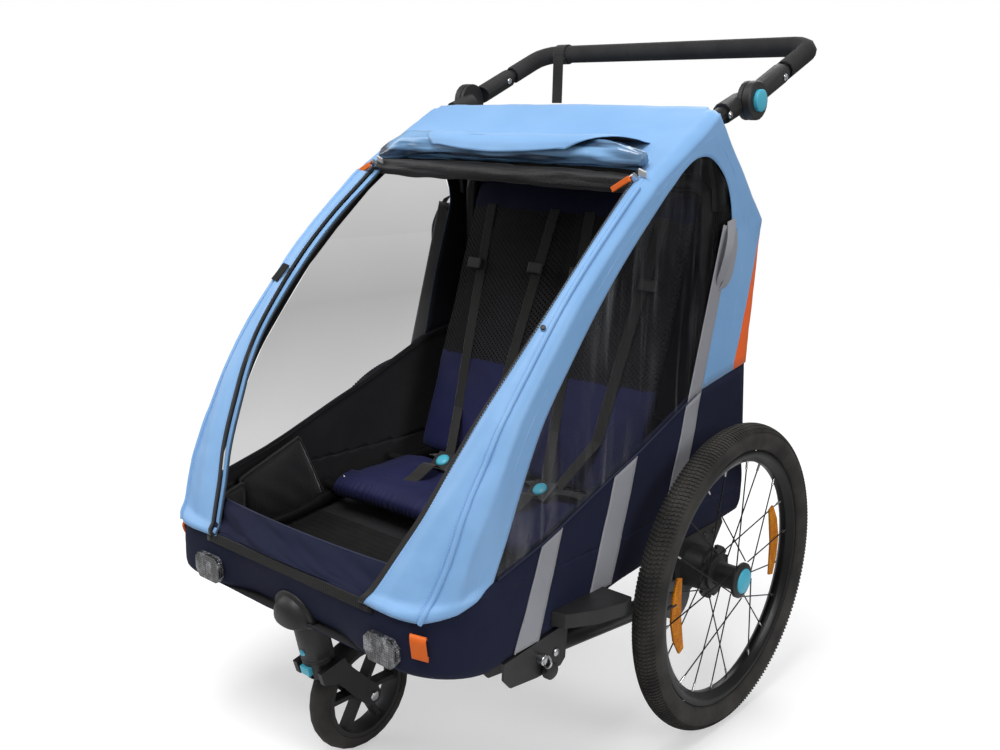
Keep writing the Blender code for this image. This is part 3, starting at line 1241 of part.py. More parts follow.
def build_canopy():
    """Roof, front strips, side borders and back of the cover as one cloth with an open front."""
    shoulder = inward(RIDGE, 0.013)
    shoulder[0] = (-0.5549, 0.3630)
    shoulder[1] = (-0.5520, 0.3735)
    shoulder[2] = (-0.5435, 0.4030)
    shoulder[18] = (0.1210, 0.5740)
    shoulder[19] = (0.1320, 0.4710)
    shoulder[20] = (0.1360, 0.4420)
    bm = bmesh.new()
    rows = []
    for k, (y, z) in enumerate(RIDGE):
        line = []
        if k >= ROOF_FRONT:
            for x in (0.0, RIDGE_X - 0.202, RIDGE_X - 0.112):
                rise = CROWN * (1 - (x / RIDGE_X) ** 2)
                lift = (0, rise) if k <= ROOF_REAR else (rise * (0.0 if k == len(RIDGE) - 1 else 0.8), 0)
                line.append((x, y + lift[0], z + lift[1]))
            line.append((RIDGE_X - OPENING[-1][0], y, z + (0.001 if k <= ROOF_REAR else 0)))
        else:
            line += [None, None, None, (RIDGE_X - OPENING[k][0], *OPENING[k][1:])]
        inset = RIDGE_INSET[k] if k < len(RIDGE_INSET) else 0.0
        line.append((RIDGE_X - inset, y, z))
        line.append((plan_x(shoulder[k][0]), *shoulder[k]))
        line.append((BODY_HALF, *WINDOW[k]) if k <= SIDE_END else None)
        rows.append([bm.verts.new(place) if place else None for place in line])
    for near, far in zip(rows, rows[1:]):
        for j in range(6):
            corners = (near[j], near[j + 1], far[j + 1], far[j])
            if None not in corners:
                bm.faces.new(corners)
    bm.normal_update()
    crown = [face for face in bm.faces if abs(face.normal.z) > 0.7]
    if sum(face.normal.z for face in crown) < 0:
        bmesh.ops.reverse_faces(bm, faces=bm.faces)
    obj = add("canopy", from_bmesh("canopy", bm), "light_blue_cloth")
    mirror = obj.modifiers.new("other side", "MIRROR")
    mirror.merge_threshold = 0.0001
    thick = obj.modifiers.new("cloth", "SOLIDIFY")
    thick.thickness = CLOTH
    thick.offset = -1
    thick.use_even_offset = True
    notch_outline = [(-0.0055, 0.9360), (0.0850, 0.9700), (0.0850, 1.0300), (-0.0055, 1.0300)]
    notch = plate_mesh("notch", notch_outline, 0.0560, RIDGE_X + 0.0005)
    notches = join_meshes("tube_notches", [notch, mirrored(notch, "notch_right")])
    boolean(obj, add("tube_notches", notches))


def build_windows():
    outline = [(y, z) for y, z in WINDOW]
    outline = inward(outline, 0.0006)
    sill = [(-0.045, spread(TUB_TOP, -0.045) + 0.0006)]
    for y in (-0.185, -0.242, -0.360, -0.404, -0.480):
        sill.append((y, spread(TUB_TOP, y) + 0.0006))
    outline[0] = (-0.4965, spread(TUB_TOP, -0.4965) + 0.0010)
    outline[-1] = (-0.0225, spread(TUB_TOP, -0.0225) + 0.0010)
    film = plate_mesh("film", [*outline, *sill], FILM, BODY_HALF - CLOTH / 2)
    add("side_window_left", film, "clear_film")
    add("side_window_right", mirrored(film, "side_window_right"), "clear_film")


def build_cover_roll():
    """Front cover rolled up under the roof's front edge."""
    points = []
    for k in range(9):
        x = (RIDGE_X - 0.026) * (k - 4) / 4
        points.append((x, -0.1640, 0.8683 + CROWN * (1 - (x / RIDGE_X) ** 2)))
    add("cover_roll", tube_mesh("cover_roll", points, 0.0155, 4), "black_web")


build_floor_frame()
build_axle()
build_floor_mat()
build_lower_body()
build_front_reflectors()
build_caster()
tow_bolt_y = build_tow_side()
build_tow_bolt(tow_bolt_y)
build_steps()
build_brake_pedal()
build_hoop()
build_push_bar()
build_back_frame()
seat_surface, back_surface = build_seat()
build_harness(seat_surface, back_surface)
build_canopy()
build_windows()
build_cover_roll()
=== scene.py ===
# %% [markdown]
# # Child bike trailer
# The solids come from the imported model: frame tubes, wheels, hubs and moulded parts.
# This file dresses them. Cloth, film, webbing, foam and rubber are made here as their own
# pieces, each tied to the body that it moves with, and every solid that stays gets its finish.
# The cabin faces -Y and its own left side is +X, the side that the photograph shows.

import json
import math
from contextlib import contextmanager

import bmesh
import bpy
import numpy as np
from mathutils import Matrix, Vector, noise
from mathutils.bvhtree import BVHTree
from mathutils.kdtree import KDTree

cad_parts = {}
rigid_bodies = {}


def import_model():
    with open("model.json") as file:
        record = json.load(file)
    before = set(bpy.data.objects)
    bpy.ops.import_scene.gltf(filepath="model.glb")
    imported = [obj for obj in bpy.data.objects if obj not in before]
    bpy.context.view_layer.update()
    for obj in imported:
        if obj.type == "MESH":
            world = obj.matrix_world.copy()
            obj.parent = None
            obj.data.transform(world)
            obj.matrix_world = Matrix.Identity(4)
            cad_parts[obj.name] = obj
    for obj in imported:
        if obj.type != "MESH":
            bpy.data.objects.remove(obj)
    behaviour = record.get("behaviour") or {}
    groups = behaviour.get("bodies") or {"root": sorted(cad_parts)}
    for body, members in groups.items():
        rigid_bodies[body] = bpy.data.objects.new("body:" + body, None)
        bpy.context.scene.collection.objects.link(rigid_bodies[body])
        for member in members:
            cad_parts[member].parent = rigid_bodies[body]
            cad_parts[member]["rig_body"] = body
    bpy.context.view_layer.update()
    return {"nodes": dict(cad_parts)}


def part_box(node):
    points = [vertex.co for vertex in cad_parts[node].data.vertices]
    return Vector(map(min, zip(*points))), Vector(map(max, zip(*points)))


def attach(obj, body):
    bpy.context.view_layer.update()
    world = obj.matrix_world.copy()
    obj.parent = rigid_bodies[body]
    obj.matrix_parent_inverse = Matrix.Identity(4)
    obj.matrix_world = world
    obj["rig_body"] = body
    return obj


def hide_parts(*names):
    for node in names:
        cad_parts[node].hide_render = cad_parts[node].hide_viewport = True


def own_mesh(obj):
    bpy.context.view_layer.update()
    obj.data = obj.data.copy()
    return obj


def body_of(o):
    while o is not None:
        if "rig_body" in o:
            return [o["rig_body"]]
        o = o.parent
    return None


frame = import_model()
nodes = frame["nodes"]
tyre_low, tyre_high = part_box("rear_tyre_left")
AXLE_Y = (tyre_low.y + tyre_high.y) / 2
WHEEL_R = (tyre_high.z - tyre_low.z) / 2
SIDES = (("left", 1), ("right", -1))
print("rear axle at y", round(AXLE_Y, 4), "wheel radius", round(WHEEL_R, 4))


def at(x, y, z):
    """Point whose y is measured from the rear axle, as every length in this file is."""
    return Vector((x, y + AXLE_Y, z))


# %% [markdown]
# ## Camera
# The picture was taken from the front left, a little above the roof. Lens, place and tilt were
# worked out from the wheels' ellipses and the frame's straight edges, so a piece put at a measured
# place lands where it is in the picture.

# %% Camera
CAMERA_PLACE = (1.14729, -1.46495, 0.93846)
CAMERA_ANGLES = (41.0168, 12.7841, 1.4088)
FOCAL_PIXELS, PICTURE_WIDTH, SENSOR_WIDTH = 1076.909, 1000, 36


def place_camera():
    turn, tip, roll = (math.radians(v) for v in CAMERA_ANGLES)
    ahead = Vector((-math.sin(turn) * math.cos(tip), math.cos(turn) * math.cos(tip), -math.sin(tip)))
    flat_right = Vector((math.cos(turn), math.sin(turn), 0))
    flat_up = flat_right.cross(ahead)
    right = math.cos(roll) * flat_right + math.sin(roll) * flat_up
    up = -math.sin(roll) * flat_right + math.cos(roll) * flat_up
    data = bpy.data.cameras.new("camera")
    data.sensor_width = SENSOR_WIDTH
    data.lens = FOCAL_PIXELS * SENSOR_WIDTH / PICTURE_WIDTH
    camera = bpy.data.objects.new("camera", data)
    columns = Matrix((right, up, -ahead)).transposed().to_4x4()
    camera.matrix_world = Matrix.Translation(at(*CAMERA_PLACE)) @ columns
    bpy.context.scene.collection.objects.link(camera)
    bpy.context.scene.camera = camera
    print("lens", round(data.lens, 2), "mm")


place_camera()

# %% [markdown]
# ## Finishes
# Every finish is a Principled shader whose colour, bump and roughness come from a few texture
# nodes. `Finish` keeps that short: it adds a node, links sockets by name and sets constants.

# %% Finish helper
FINISHES = {}
WAVE_LENGTH = 0.314


def add_node(tree, kind, inputs=None, **settings):
    """Adds a node, whose inputs are constants or the outputs that they are linked to."""
    made = tree.nodes.new(kind)
    for key, value in settings.items():
        setattr(made, key, value)
    for key, value in (inputs or {}).items():
        if hasattr(value, "is_output"):
            tree.links.new(value, made.inputs[key])
        else:
            made.inputs[key].default_value = value
    return made


class Finish:
    """A new material, kept in FINISHES by its name, and short ways to add nodes to it."""

    def __init__(self, name, roughness=0.5, **sockets):
        self.material = FINISHES[name] = bpy.data.materials.new(name)
        self.material.use_nodes = True
        self.tree = self.material.node_tree
        self.shader = self.tree.nodes["Principled BSDF"]
        self.shader.inputs["Roughness"].default_value = roughness
        for socket, value in sockets.items():
            self.shader.inputs[socket.replace("_", " ")].default_value = value
        self.place = self.node("ShaderNodeTexCoord").outputs["Object"]
        self.normal = None

    def node(self, kind, inputs=None, **settings):
        return add_node(self.tree, kind, inputs, **settings)

    def uv(self):
        return self.node("ShaderNodeUVMap", uv_map="cloth").outputs["UV"]

    def axes(self):
        return self.node("ShaderNodeSeparateXYZ", {"Vector": self.place}).outputs

    def noise(self, scale, detail=3.0, stretch=None):
        source = self.place
        if stretch:
            source = self.node("ShaderNodeMapping", {"Vector": source, "Scale": stretch}).outputs[0]
        inputs = {"Vector": source, "Scale": scale, "Detail": detail}
        return self.node("ShaderNodeTexNoise", inputs).outputs["Fac"]

    def cells(self, scale, **inputs):
        inputs |= {"Vector": self.place, "Scale": scale}
        return self.node("ShaderNodeTexVoronoi", inputs).outputs["Distance"]

    def threads(self, place, pitch, way):
        """Even ribs along X or Y: a wave texture of scale 1 repeats at every WAVE_LENGTH."""
        inputs = {"Vector": place, "Scale": WAVE_LENGTH / (2 * pitch)}
        return self.node("ShaderNodeTexWave", inputs, bands_direction=way).outputs["Fac"]

    def ramp(self, value, low, high, start=0.35, end=0.65):
        made = self.node("ShaderNodeValToRGB", {"Fac": value})
        first, last = made.color_ramp.elements
        first.position, last.position = start, end
        first.color, last.color = (*low, 1), (*high, 1)
        return made.outputs["Color"]

    def ranged(self, value, start=0.0, end=1.0, low=0.0, high=1.0):
        """Takes a value from the range start to end into the range low to high."""
        inputs = {"Value": value, "From Min": start, "From Max": end, "To Min": low, "To Max": high}
        return self.node("ShaderNodeMapRange", inputs).outputs[0]

    def math(self, operation, a, b=0.0, clamp=False):
        made = self.node("ShaderNodeMath", {0: a, 1: b}, operation=operation, use_clamp=clamp)
        return made.outputs[0]

    def paint(self, socket, value):
        if hasattr(value, "is_output"):
            self.tree.links.new(value, socket)
        else:
            socket.default_value = (*value, 1)

    def mix(self, share, a, b):
        made = self.node("ShaderNodeMix", {"Factor": share}, data_type="RGBA")
        for socket, value in zip([s for s in made.inputs if s.type == "RGBA"], (a, b)):
            self.paint(socket, value)
        return [s for s in made.outputs if s.type == "RGBA"][0]

    def colour(self, value):
        self.paint(self.shader.inputs["Base Color"], value)

    def bump(self, height, distance, strength):
        inputs = {"Height": height, "Distance": distance, "Strength": strength}
        if self.normal is not None:
            inputs["Normal"] = self.normal
        self.normal = self.node("ShaderNodeBump", inputs).outputs["Normal"]
        self.tree.links.new(self.normal, self.shader.inputs["Normal"])

    def roughness(self, value, low, high):
        self.tree.links.new(self.ranged(value, low=low, high=high), self.shader.inputs["Roughness"])


# %% [markdown]
# Cloth reads its weave from the piece's own UV map, which is laid out in metres, so threads keep
# their size and follow the panel. A slow noise shifts the colour a little, as dye and dust do.

# %% Cloth finishes
def woven(name, dark, light, pitch=0.0011, depth=0.00012, roughness=0.72, sheen=0.25, crease=0.0012,
          ribs=False, level=0.45):
    f = Finish(name, roughness, Sheen_Weight=sheen, Sheen_Roughness=0.4, Specular_IOR_Level=level)
    f.colour(f.ramp(f.noise(5.0, 4.0), dark, light, 0.30, 0.70))
    uv = f.uv()
    weave = f.threads(uv, pitch, "X")
    if not ribs:
        weave = f.math("MULTIPLY", weave, f.threads(uv, pitch, "Y"))
    f.bump(f.noise(14.0, 3.0), crease, 0.5)
    f.bump(weave, depth, 0.6)
    f.roughness(f.noise(30.0, 2.0), roughness - 0.06, roughness + 0.08)
    return f


def sky_cloth():
    """Light blue satin cloth, with the plain orange wedge sewn in at the rear edge of each side."""
    f = woven("sky_cloth", (0.200, 0.408, 0.720), (0.250, 0.468, 0.790), roughness=0.46, sheen=0.12,
              crease=0.0030)
    x, y, z = f.axes()
    top, foot = (0.1450 + AXLE_Y, 0.811), (0.0820 + AXLE_Y, 0.570)
    slope = (foot[0] - top[0]) / (foot[1] - top[1])
    edge = f.math("ADD", f.math("MULTIPLY", f.math("SUBTRACT", z, top[1]), slope), top[0])
    behind = f.math("GREATER_THAN", y, edge)
    beside = f.math("GREATER_THAN", f.math("ABSOLUTE", x), 0.2850)
    plain = f.shader.inputs["Base Color"].links[0].from_socket
    f.colour(f.mix(f.math("MULTIPLY", behind, beside), plain, (0.98, 0.145, 0.014)))


sky_cloth()
woven("navy_cloth", (0.0066, 0.0088, 0.029), (0.0100, 0.0135, 0.041), roughness=0.86, sheen=0.0, level=0.28)
woven("seat_navy", (0.0090, 0.0105, 0.050), (0.0165, 0.0190, 0.084), pitch=0.0022, roughness=0.66, sheen=0.05,
      crease=0.005, level=0.30)
woven("dark_lining", (0.0045, 0.0050, 0.0100), (0.0080, 0.0090, 0.0170), roughness=0.85, sheen=0.15)
woven("black_web", (0.0100, 0.0095, 0.0088), (0.0180, 0.0170, 0.0155), pitch=0.0018, depth=0.0003,
      roughness=0.78, sheen=0.3, ribs=True)
woven("black_binding", (0.0095, 0.0090, 0.0085), (0.0150, 0.0140, 0.0130), pitch=0.0016, roughness=0.70)
woven("orange_web", (0.70, 0.105, 0.006), (0.90, 0.180, 0.012), pitch=0.0014, roughness=0.60, sheen=0.0)
woven("hook_band", (0.0050, 0.0048, 0.0048), (0.0120, 0.0115, 0.0110), pitch=0.0020, depth=0.0006,
      roughness=0.95, sheen=0.10, crease=0.0002)
woven("grey_band", (0.275, 0.280, 0.310), (0.335, 0.340, 0.370), pitch=0.0013, roughness=0.48, sheen=0.10)
woven("pocket_net", (0.0085, 0.0085, 0.0092), (0.0330, 0.0330, 0.0350), pitch=0.0024, depth=0.0006,
      roughness=0.70)
woven("wall_lining", (0.0085, 0.0085, 0.0100), (0.0230, 0.0230, 0.0260), pitch=0.0016, roughness=0.62,
      crease=0.007)
woven("pocket_edge", (0.0170, 0.0168, 0.0165), (0.0330, 0.0320, 0.0310), pitch=0.0018, roughness=0.50,
      level=0.60)
woven("white_web", (0.55, 0.54, 0.52), (0.70, 0.69, 0.67), pitch=0.0012, roughness=0.75)


def rolled_film():
    """Clear film and light blue cloth rolled up together: glossy dark folds between blue ones, and ends
    painted dark as shade.
    """
    f = Finish("rolled_film", 0.14, Coat_Weight=0.5, Coat_Roughness=0.08)
    folds = f.noise(1.0, 2.0, stretch=(3.0, 55.0, 55.0))
    # Painted shade: the roll is made darker towards both ends.
    ends = f.ranged(f.math("ABSOLUTE", f.axes()[0]), 0.215, 0.262, 0.0, 0.55)
    cloth = f.ramp(folds, (0.026, 0.060, 0.125), (0.225, 0.440, 0.740), 0.395, 0.500)
    f.colour(f.mix(ends, cloth, (0.012, 0.016, 0.030)))
    f.bump(folds, 0.006, 0.8)
    f.roughness(f.noise(9.0, 2.0), 0.08, 0.35)


def rolled_net():
    f = Finish("rolled_net", 0.55, Sheen_Weight=0.15)
    cells = f.cells(420.0)
    f.colour(f.ramp(cells, (0.022, 0.022, 0.024), (0.006, 0.006, 0.007), 0.2, 0.6))
    f.bump(f.noise(1.0, 4.0, stretch=(7.0, 110.0, 110.0)), 0.004, 0.6)
    f.bump(cells, 0.0005, 0.6)


rolled_film()
rolled_net()
print(len(FINISHES), "cloth finishes")

# %% [markdown]
# The seat back is net in the middle: threads with see-through holes. The windows are clear film,
# slightly milky, with long soft streaks of painted highlight on the near side, where it has been
# folded. On the far side light comes through the film, so there it is painted greyest in the
# middle and has no streaks.

# %% Net and film
def net_cloth():
    """Two sets of slanting threads; the film between them is left out of the surface."""
    f = Finish("net_cloth", 0.75, Specular_IOR_Level=0.3)
    f.colour(f.ramp(f.noise(8.0), (0.0095, 0.0095, 0.0110), (0.0170, 0.0170, 0.0195)))
    turned = {"Vector": f.uv(), "Rotation": (0, 0, math.radians(38))}
    slant = f.node("ShaderNodeMapping", turned).outputs[0]
    both = f.math("MULTIPLY", f.threads(slant, 0.0027, "X"), f.threads(slant, 0.0034, "Y"))
    f.tree.links.new(f.math("LESS_THAN", both, 0.46), f.shader.inputs["Alpha"])
    f.bump(both, 0.0006, 0.8)


def clear_film():
    """Slightly smoked film, with painted highlights as upright streaks on the near side and a painted grey
    middle on the far one.
    """
    f = Finish("clear_film", 0.06, IOR=1.42)
    x, _, z = f.axes()
    near, far = f.math("GREATER_THAN", x, 0.0), f.math("LESS_THAN", x, 0.0)
    # Painted highlight: pale upright streaks, on the near side only, where the film faces the lamps.
    thin = f.ranged(f.noise(1.0, 2.0, stretch=(1.0, 75.0, 4.5)), 0.58, 0.84, high=0.26)
    broad = f.ranged(f.noise(1.0, 2.0, stretch=(1.0, 20.0, 4.0)), 0.50, 0.80, high=0.24)
    bright = f.math("MULTIPLY", f.math("ADD", thin, broad), near)
    haze = f.ranged(f.noise(3.0, 2.0), low=0.10, high=0.18)
    lower = f.ranged(z, 0.82, 0.45)
    deep = f.math("MULTIPLY", f.math("MULTIPLY", lower, 0.24), near)
    # Painted grey on the far side, greyest in the middle, for the light that comes through the film.
    off_middle = f.math("ABSOLUTE", f.math("SUBTRACT", z, 0.64))
    middle = f.math("MULTIPLY", far, f.ranged(off_middle, end=0.20, low=0.46, high=0.30))
    dim = f.math("ADD", f.math("ADD", haze, deep), middle)
    f.tree.links.new(f.math("ADD", dim, bright), f.shader.inputs["Alpha"])
    streaks = f.math("MULTIPLY", bright, 2.4, clamp=True)
    f.colour(f.mix(streaks, (0.035, 0.036, 0.040), (0.26, 0.27, 0.29)))
    f.bump(f.noise(1.0, 1.0, stretch=(2.0, 14.0, 2.0)), 0.012, 0.4)


net_cloth()
clear_film()
print("net and film added,", len(FINISHES), "finishes")

# %% [markdown]
# Moulded plastic has a fine grain and slightly uneven gloss; tubes are smooth powder coat; rubber is
# dull, lighter and browner in random patches. Chrome and steel keep one colour and vary in roughness.

# %% Hard finishes
def moulded(name, dark, light, roughness, grain=0.00012, scale=900.0, **sockets):
    f = Finish(name, roughness, **sockets)
    f.colour(f.ramp(f.noise(18.0, 4.0), dark, light))
    f.bump(f.noise(scale, 2.0), grain, 0.5)
    f.roughness(f.noise(60.0, 3.0), roughness - 0.07, roughness + 0.09)


moulded("black_plastic", (0.0135, 0.0135, 0.0138), (0.0200, 0.0200, 0.0205), 0.46)
moulded("black_tube", (0.0090, 0.0090, 0.0095), (0.0140, 0.0140, 0.0148), 0.32, grain=0.00004)
moulded("black_foam", (0.0130, 0.0130, 0.0135), (0.0210, 0.0210, 0.0215), 0.88, grain=0.00035, scale=420.0)
moulded("tyre_rubber", (0.0130, 0.0122, 0.0112), (0.0400, 0.0365, 0.0315), 0.82, grain=0.00025, scale=500.0)
moulded("mat_rubber", (0.0050, 0.0048, 0.0046), (0.0095, 0.0092, 0.0088), 0.78, grain=0.0002,
        Specular_IOR_Level=0.3)
moulded("black_alloy", (0.0095, 0.0095, 0.0100), (0.0150, 0.0150, 0.0155), 0.30, grain=0.00003, Metallic=0.55)
moulded("bright_steel", (0.55, 0.56, 0.58), (0.72, 0.73, 0.75), 0.22, grain=0.00002, Metallic=1.0)
moulded("cyan_plastic", (0.060, 0.430, 0.600), (0.085, 0.520, 0.700), 0.36, grain=0.00005)
moulded("grey_plastic", (0.055, 0.060, 0.070), (0.085, 0.090, 0.100), 0.45)
moulded("tooth_blue", (0.060, 0.190, 0.380), (0.090, 0.260, 0.480), 0.40)
moulded("sky_thread", (0.33, 0.56, 0.86), (0.42, 0.64, 0.92), 0.60, grain=0.0001)
moulded("grey_thread", (0.40, 0.41, 0.43), (0.50, 0.51, 0.53), 0.60, grain=0.0001)
moulded("navy_cloth_plain", (0.0100, 0.0130, 0.040), (0.0150, 0.0190, 0.055), 0.75, grain=0.0002)


def lens_finish(name, dark, light, pitch, coat=0.6, **sockets):
    """Moulded reflector: clear skin over rows of small prisms, with painted glints where some of them catch
    the light.
    """
    f = Finish(name, 0.14, Coat_Weight=coat, Coat_Roughness=0.05, **sockets)
    cells = f.cells(1 / pitch, Randomness=0.35)
    # Painted glints: where a slow noise is high, prisms take the light colour.
    glint = f.ranged(f.noise(1.0, 3.0, stretch=(70.0, 70.0, 45.0)), 0.46, 0.62)
    share = f.math("MULTIPLY", f.math("SUBTRACT", 0.9, cells), glint, clamp=True)
    f.colour(f.mix(share, dark, light))
    f.bump(cells, 0.0020, 1.0)


lens_finish("amber_lens", (0.62, 0.190, 0.001), (0.92, 0.350, 0.003), 0.0045, 0.10, Specular_IOR_Level=0.20)
lens_finish("clear_lens", (0.040, 0.042, 0.045), (0.62, 0.64, 0.67), 0.0034, Metallic=0.30)
print(len(FINISHES), "finishes")

# %% [markdown]
# ## Making pieces
# Cloth panels are lofts: rows of points joined into a grid, with a UV map in metres. A few lines
# of points from the cabin's outline are enough, because a smooth curve fills in between them.

# %% Curves and grids
def smooth_line(points, per, breaks=()):
    """Catmull-Rom through the points, which stays sharp at the given indexes."""
    points = [Vector(p) for p in points]
    ends = sorted({0, len(points) - 1, *breaks})
    dense = []
    for first, last in zip(ends, ends[1:]):
        run = points[first:last + 1]
        run = [run[0] * 2 - run[1], *run, run[-1] * 2 - run[-2]]
        for k in range(1, len(run) - 2):
            a, b, c, d = run[k - 1:k + 3]
            for step in range(per):
                t = step / per
                dense.append(0.5 * (2 * b + (c - a) * t + (2 * a - 5 * b + 4 * c - d) * t * t
                                    + (3 * b - a - 3 * c + d) * t ** 3))
    dense.append(points[-1])
    return dense


def even_line(points, step):
    """Points at an even distance along a line, both ends kept."""
    points = [Vector(p) for p in points]
    lengths = [0.0]
    for a, b in zip(points, points[1:]):
        lengths.append(lengths[-1] + (b - a).length)
    count = max(2, round(lengths[-1] / step) + 1)
    spots = np.linspace(0, lengths[-1], count)
    found = [np.interp(spots, lengths, [p[k] for p in points]) for k in range(3)]
    return [Vector(p) for p in zip(*found)]


def grid_piece(name, rows, finish, closed=False):
    """Mesh of quads through rows of points, in the order given, with its UV map in metres."""
    rows = [[Vector(p) for p in row] for row in rows]
    bm = bmesh.new()
    layer = bm.loops.layers.uv.new("cloth")
    verts = [[bm.verts.new(p) for p in row] for row in rows]
    count = len(rows[0])
    across = [0.0]
    middle = rows[len(rows) // 2]
    for j in range(count - 1 + closed):
        across.append(across[-1] + (middle[(j + 1) % count] - middle[j]).length)
    along = [0.0]
    for near, far in zip(rows, rows[1:]):
        along.append(along[-1] + (far[count // 2] - near[count // 2]).length)
    for k in range(len(rows) - 1):
        for j in range(count - 1 + closed):
            n = (j + 1) % count
            corners = [verts[k][j], verts[k][n], verts[k + 1][n], verts[k + 1][j]]
            face = bm.faces.new(corners)
            spots = [(across[j], along[k]), (across[j + 1], along[k]),
                     (across[j + 1], along[k + 1]), (across[j], along[k + 1])]
            for loop, spot in zip(face.loops, spots):
                loop[layer].uv = spot
            face.smooth = True
    return finished(name, bm, finish)


def placed(name, mesh):
    """Puts a mesh in the scene as an object."""
    obj = bpy.data.objects.new(name, mesh)
    bpy.context.scene.collection.objects.link(obj)
    return obj


def mesh_piece(name, bm):
    """Object made of what was built in a bmesh, which is freed."""
    mesh = bpy.data.meshes.new(name)
    bm.to_mesh(mesh)
    bm.free()
    return placed(name, mesh)


def finished(name, bm, finish):
    """Object from a bmesh, with double points merged and one finish."""
    bmesh.ops.remove_doubles(bm, verts=bm.verts, dist=1e-6)
    obj = mesh_piece(name, bm)
    obj.data.materials.append(FINISHES[finish])
    return obj


@contextmanager
def editing(obj):
    """Opens a piece's mesh as a bmesh and writes it back."""
    bm = bmesh.new()
    bm.from_mesh(obj.data)
    bm.normal_update()
    yield bm
    bm.to_mesh(obj.data)
    bm.free()


def face_away(obj, centre):
    """Turns the faces to point away from a place inside the piece."""
    with editing(obj) as bm:
        outward = sum(f.normal.dot(f.calc_center_median() - centre) * f.calc_area() for f in bm.faces)
        if outward < 0:
            bmesh.ops.reverse_faces(bm, faces=bm.faces)


def face_out(obj):
    """Turns the faces of a closed piece outward."""
    with editing(obj) as bm:
        bmesh.ops.recalc_face_normals(bm, faces=bm.faces)


def baked(obj):
    """New mesh of a piece as its modifiers leave it."""
    bpy.context.view_layer.update()
    graph = bpy.context.evaluated_depsgraph_get()
    return bpy.data.meshes.new_from_object(obj.evaluated_get(graph))


def settled(obj):
    """The same piece with its modifiers taken into its mesh."""
    mesh = baked(obj)
    obj.modifiers.clear()
    obj.data = mesh
    return obj


def surface_tree(mesh):
    """Search tree for the nearest place on a mesh or the place that a ray hits."""
    bm = bmesh.new()
    bm.from_mesh(mesh)
    tree = BVHTree.FromBMesh(bm)
    bm.free()
    return tree


def thicken(obj, thickness, inner=None, offset=-1.0):
    made = obj.modifiers.new("thickness", "SOLIDIFY")
    made.thickness = thickness
    made.offset = offset
    if inner:
        obj.data.materials.append(FINISHES[inner])
        made.material_offset = 1
    return made


def mirrored(line):
    return [Vector((-p.x, p.y, p.z)) for p in line]


def other_side(obj, name):
    """Mirror image across the middle of the trailer, as a piece of its own."""
    bm = bmesh.new()
    bm.from_mesh(obj.data)
    bmesh.ops.scale(bm, vec=(-1, 1, 1), verts=bm.verts)
    bmesh.ops.reverse_faces(bm, faces=bm.faces)
    twin = mesh_piece(name, bm)
    for material in obj.data.materials:
        twin.data.materials.append(material)
    for old in obj.modifiers:
        if old.type == "SOLIDIFY":
            thicken(twin, old.thickness, offset=old.offset).material_offset = old.material_offset
    return twin


def ripple(point, size, stretch, seed):
    """Smooth random value from -1 to 1 at a place."""
    spot = Vector(a * b for a, b in zip(point, stretch)) / size
    return noise.noise(spot + Vector((seed, seed * 1.7, -seed)))


def goes_with_cover(*pieces):
    """The cover and what is sewn to it move with the chassis, each with a mesh of its own."""
    for piece in pieces:
        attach(piece, "chassis")
        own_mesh(piece)


# %% [markdown]
# ## Geometry Nodes for what repeats
# Three small trees do the repeated work: tubes along the edges of a wire mesh, stitches or teeth
# set along a line, and copies of one shape round a wheel. Each one takes its sizes as named
# inputs, ends in Realize Instances and Set Material, and is turned into a plain mesh once.

# %% Node trees
def new_tree(name, inputs):
    tree = bpy.data.node_groups.new(name, "GeometryNodeTree")
    tree.interface.new_socket("Geometry", in_out="INPUT", socket_type="NodeSocketGeometry")
    for label, kind, value in inputs:
        made = tree.interface.new_socket(label, in_out="INPUT", socket_type="NodeSocket" + kind)
        if value is not None:
            made.default_value = value
    tree.interface.new_socket("Geometry", in_out="OUTPUT", socket_type="NodeSocketGeometry")
    return tree, tree.nodes.new("NodeGroupInput"), tree.nodes.new("NodeGroupOutput")


def end_tree(tree, given, out, geometry):
    """Makes the copies real and gives them their finish."""
    real = add_node(tree, "GeometryNodeRealizeInstances", {0: geometry.outputs[0]})
    paint = add_node(tree, "GeometryNodeSetMaterial", {
        "Geometry": real.outputs[0], "Material": given.outputs["Finish"]})
    tree.links.new(paint.outputs[0], out.inputs[0])
    return tree


def wire_tree():
    """Round tubes along every edge chain, with closed ends."""
    tree, given, out = new_tree("tubes along wires", [
        ("Radius", "Float", 0.001), ("Sides", "Int", 8), ("Finish", "Material", None)])
    line = add_node(tree, "GeometryNodeMeshToCurve", {0: given.outputs["Geometry"]})
    ring = add_node(tree, "GeometryNodeCurvePrimitiveCircle", {
        "Resolution": given.outputs["Sides"], "Radius": given.outputs["Radius"]})
    tube = add_node(tree, "GeometryNodeCurveToMesh", {
        "Curve": line.outputs[0], "Profile Curve": ring.outputs[0], "Fill Caps": True})
    smooth = add_node(tree, "GeometryNodeSetShadeSmooth", {"Geometry": tube.outputs[0]})
    return end_tree(tree, given, out, smooth)


